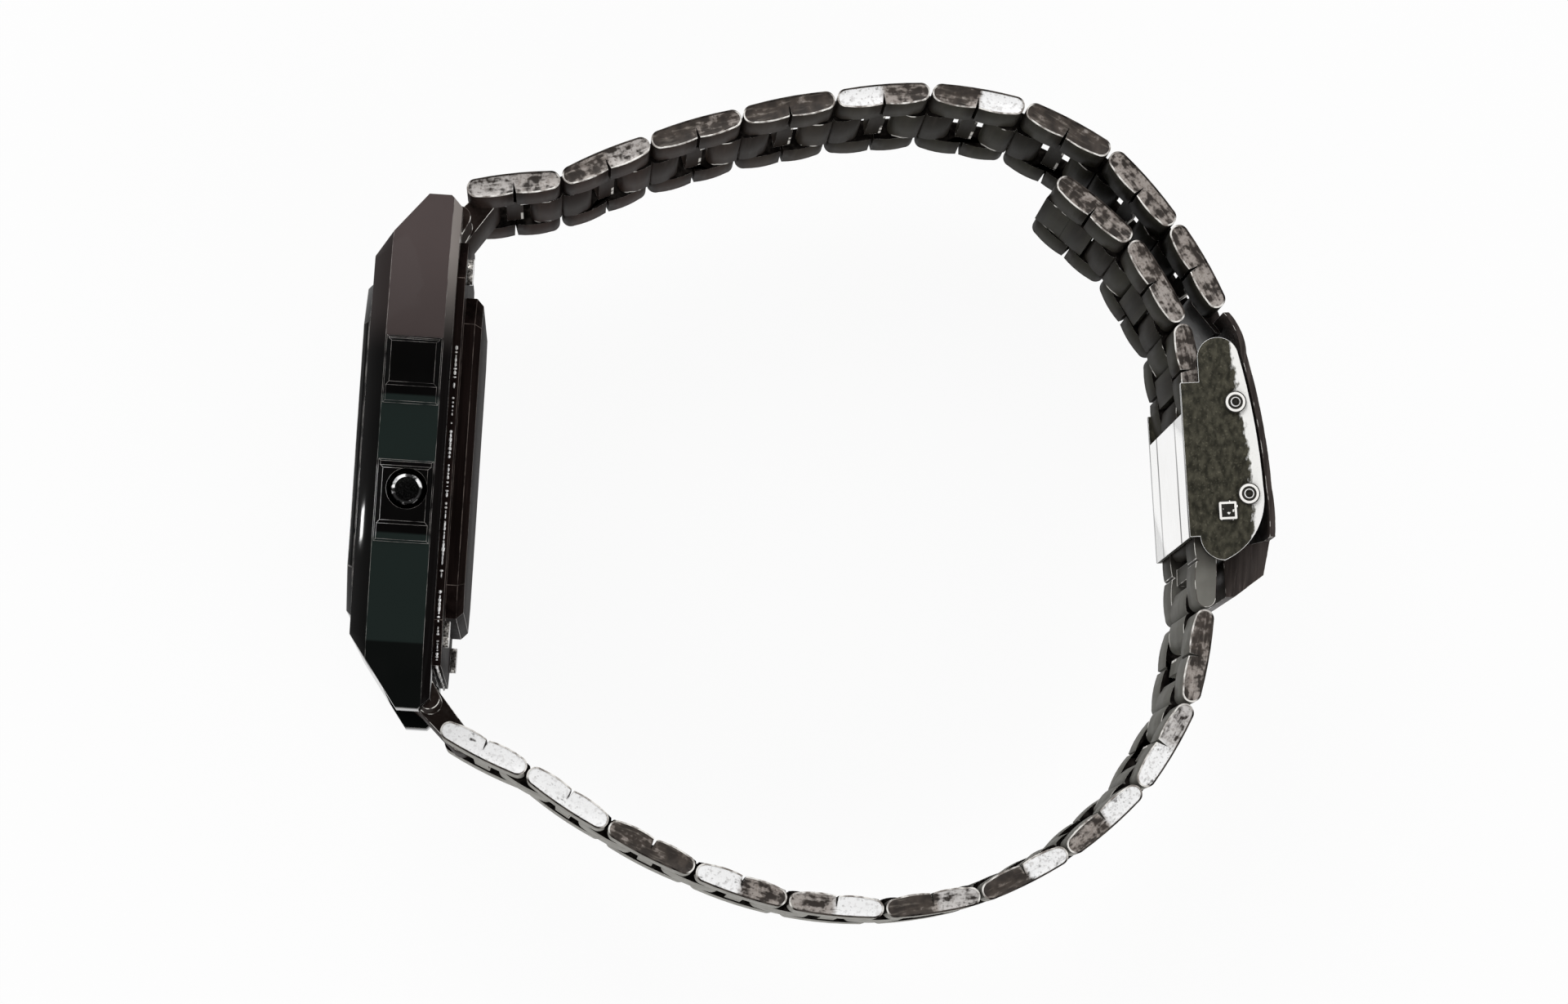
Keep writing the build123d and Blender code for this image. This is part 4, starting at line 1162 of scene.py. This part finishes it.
# %% Floor
FLOOR_HALF = 900 * MM
floor_level = cad_bounds[0][2] - 0.05 * MM
mesh = bpy.data.meshes.new("floor")
signs = [(-1, -1), (1, -1), (1, 1), (-1, 1)]
corners = [(x * FLOOR_HALF, y * FLOOR_HALF, floor_level) for x, y in signs]
mesh.from_pydata(corners, [], [(0, 1, 2, 3)])
floor = new_object("floor", mesh)
paper = bpy.data.materials.new("white_table")
paper.use_nodes = True
tree = paper.node_tree
tree.nodes.clear()
diffuse = add_node(tree, "ShaderNodeBsdfDiffuse", inputs={"Color": (0.82, 0.82, 0.82, 1.0)})
glow = add_node(tree, "ShaderNodeEmission")
ray = add_node(tree, "ShaderNodeLightPath", output="Is Camera Ray")
seen = ray.math("MAXIMUM", ray.also("Is Glossy Ray"))
seen = seen.math("MAXIMUM", ray.also("Is Transmission Ray"))
blend = add_node(tree, "ShaderNodeMixShader", inputs={0: seen * 0.93, 1: diffuse, 2: glow})
output = tree.nodes.new("ShaderNodeOutputMaterial")
tree.links.new(blend.socket, output.inputs["Surface"])
mesh.materials.append(paper)

# %% Light
world = bpy.data.worlds.new("studio")
world.use_nodes = True
bpy.context.scene.world = world
tree = world.node_tree
sky = tree.nodes["Background"]
height = add_node(tree, "ShaderNodeTexCoord", output="Generated").part("Z")
overhead = height.step(0.8, 0.96)
aloft = height.step(-0.05, 0.3)
wall = mixed(aloft, "707070", "ececec")
tree.links.new(mixed(overhead, wall, "303030").socket, sky.inputs["Color"])


def lamp(name, place, aim, size, power):
    """A square soft lamp that looks at a point."""
    light = bpy.data.lights.new(name, "AREA")
    light.size = size
    light.energy = power
    thing = new_object(name, light)
    thing.location = place
    thing.rotation_euler = (Vector(aim) - Vector(place)).to_track_quat("-Z", "Y").to_euler()
    return thing


middle = (Vector(cad_bounds[0]) + Vector(cad_bounds[1])) / 2
lamp("key_lamp", (-0.15, 0.3, 0.35), middle, 0.25, 0.9)
lamp("fill_lamp", (0.3, -0.25, 0.35), middle, 0.3, 0.5)

GLINT_PLACE = (-0.053, -0.002, -0.005)
GLINT_AIM = (-0.0072, -0.0075, 0.0153)
glint_lamp = lamp("glint_lamp", GLINT_PLACE, GLINT_AIM, 0.0035, 0.009)
glint_lamp.visible_camera = False
glint_receivers = bpy.data.collections.new("glint_receivers")
for piece in (case_shell, bezel_ring):
    glint_receivers.objects.link(piece)
glint_lamp.light_linking.receiver_collection = glint_receivers

# %% Camera
camera_data = bpy.data.cameras.new("camera")
camera_data.sensor_width = 36.0
camera_data.lens = 108.75
camera_data.clip_start = 0.01
camera = new_object("camera", camera_data)
CAMERA_PLACE = Vector((8.6, -40.98, 346.93)) * MM
CAMERA_TURN = Vector((0.1143, -0.0442, 0.061))
turned = Matrix.Rotation(CAMERA_TURN.length, 4, CAMERA_TURN.normalized())
camera.matrix_world = Matrix.Translation(CAMERA_PLACE) @ turned
bpy.context.scene.camera = camera
bpy.context.scene.view_settings.view_transform = "Standard"
print("camera", round(CAMERA_PLACE.length / MM), "mm from the back cover")
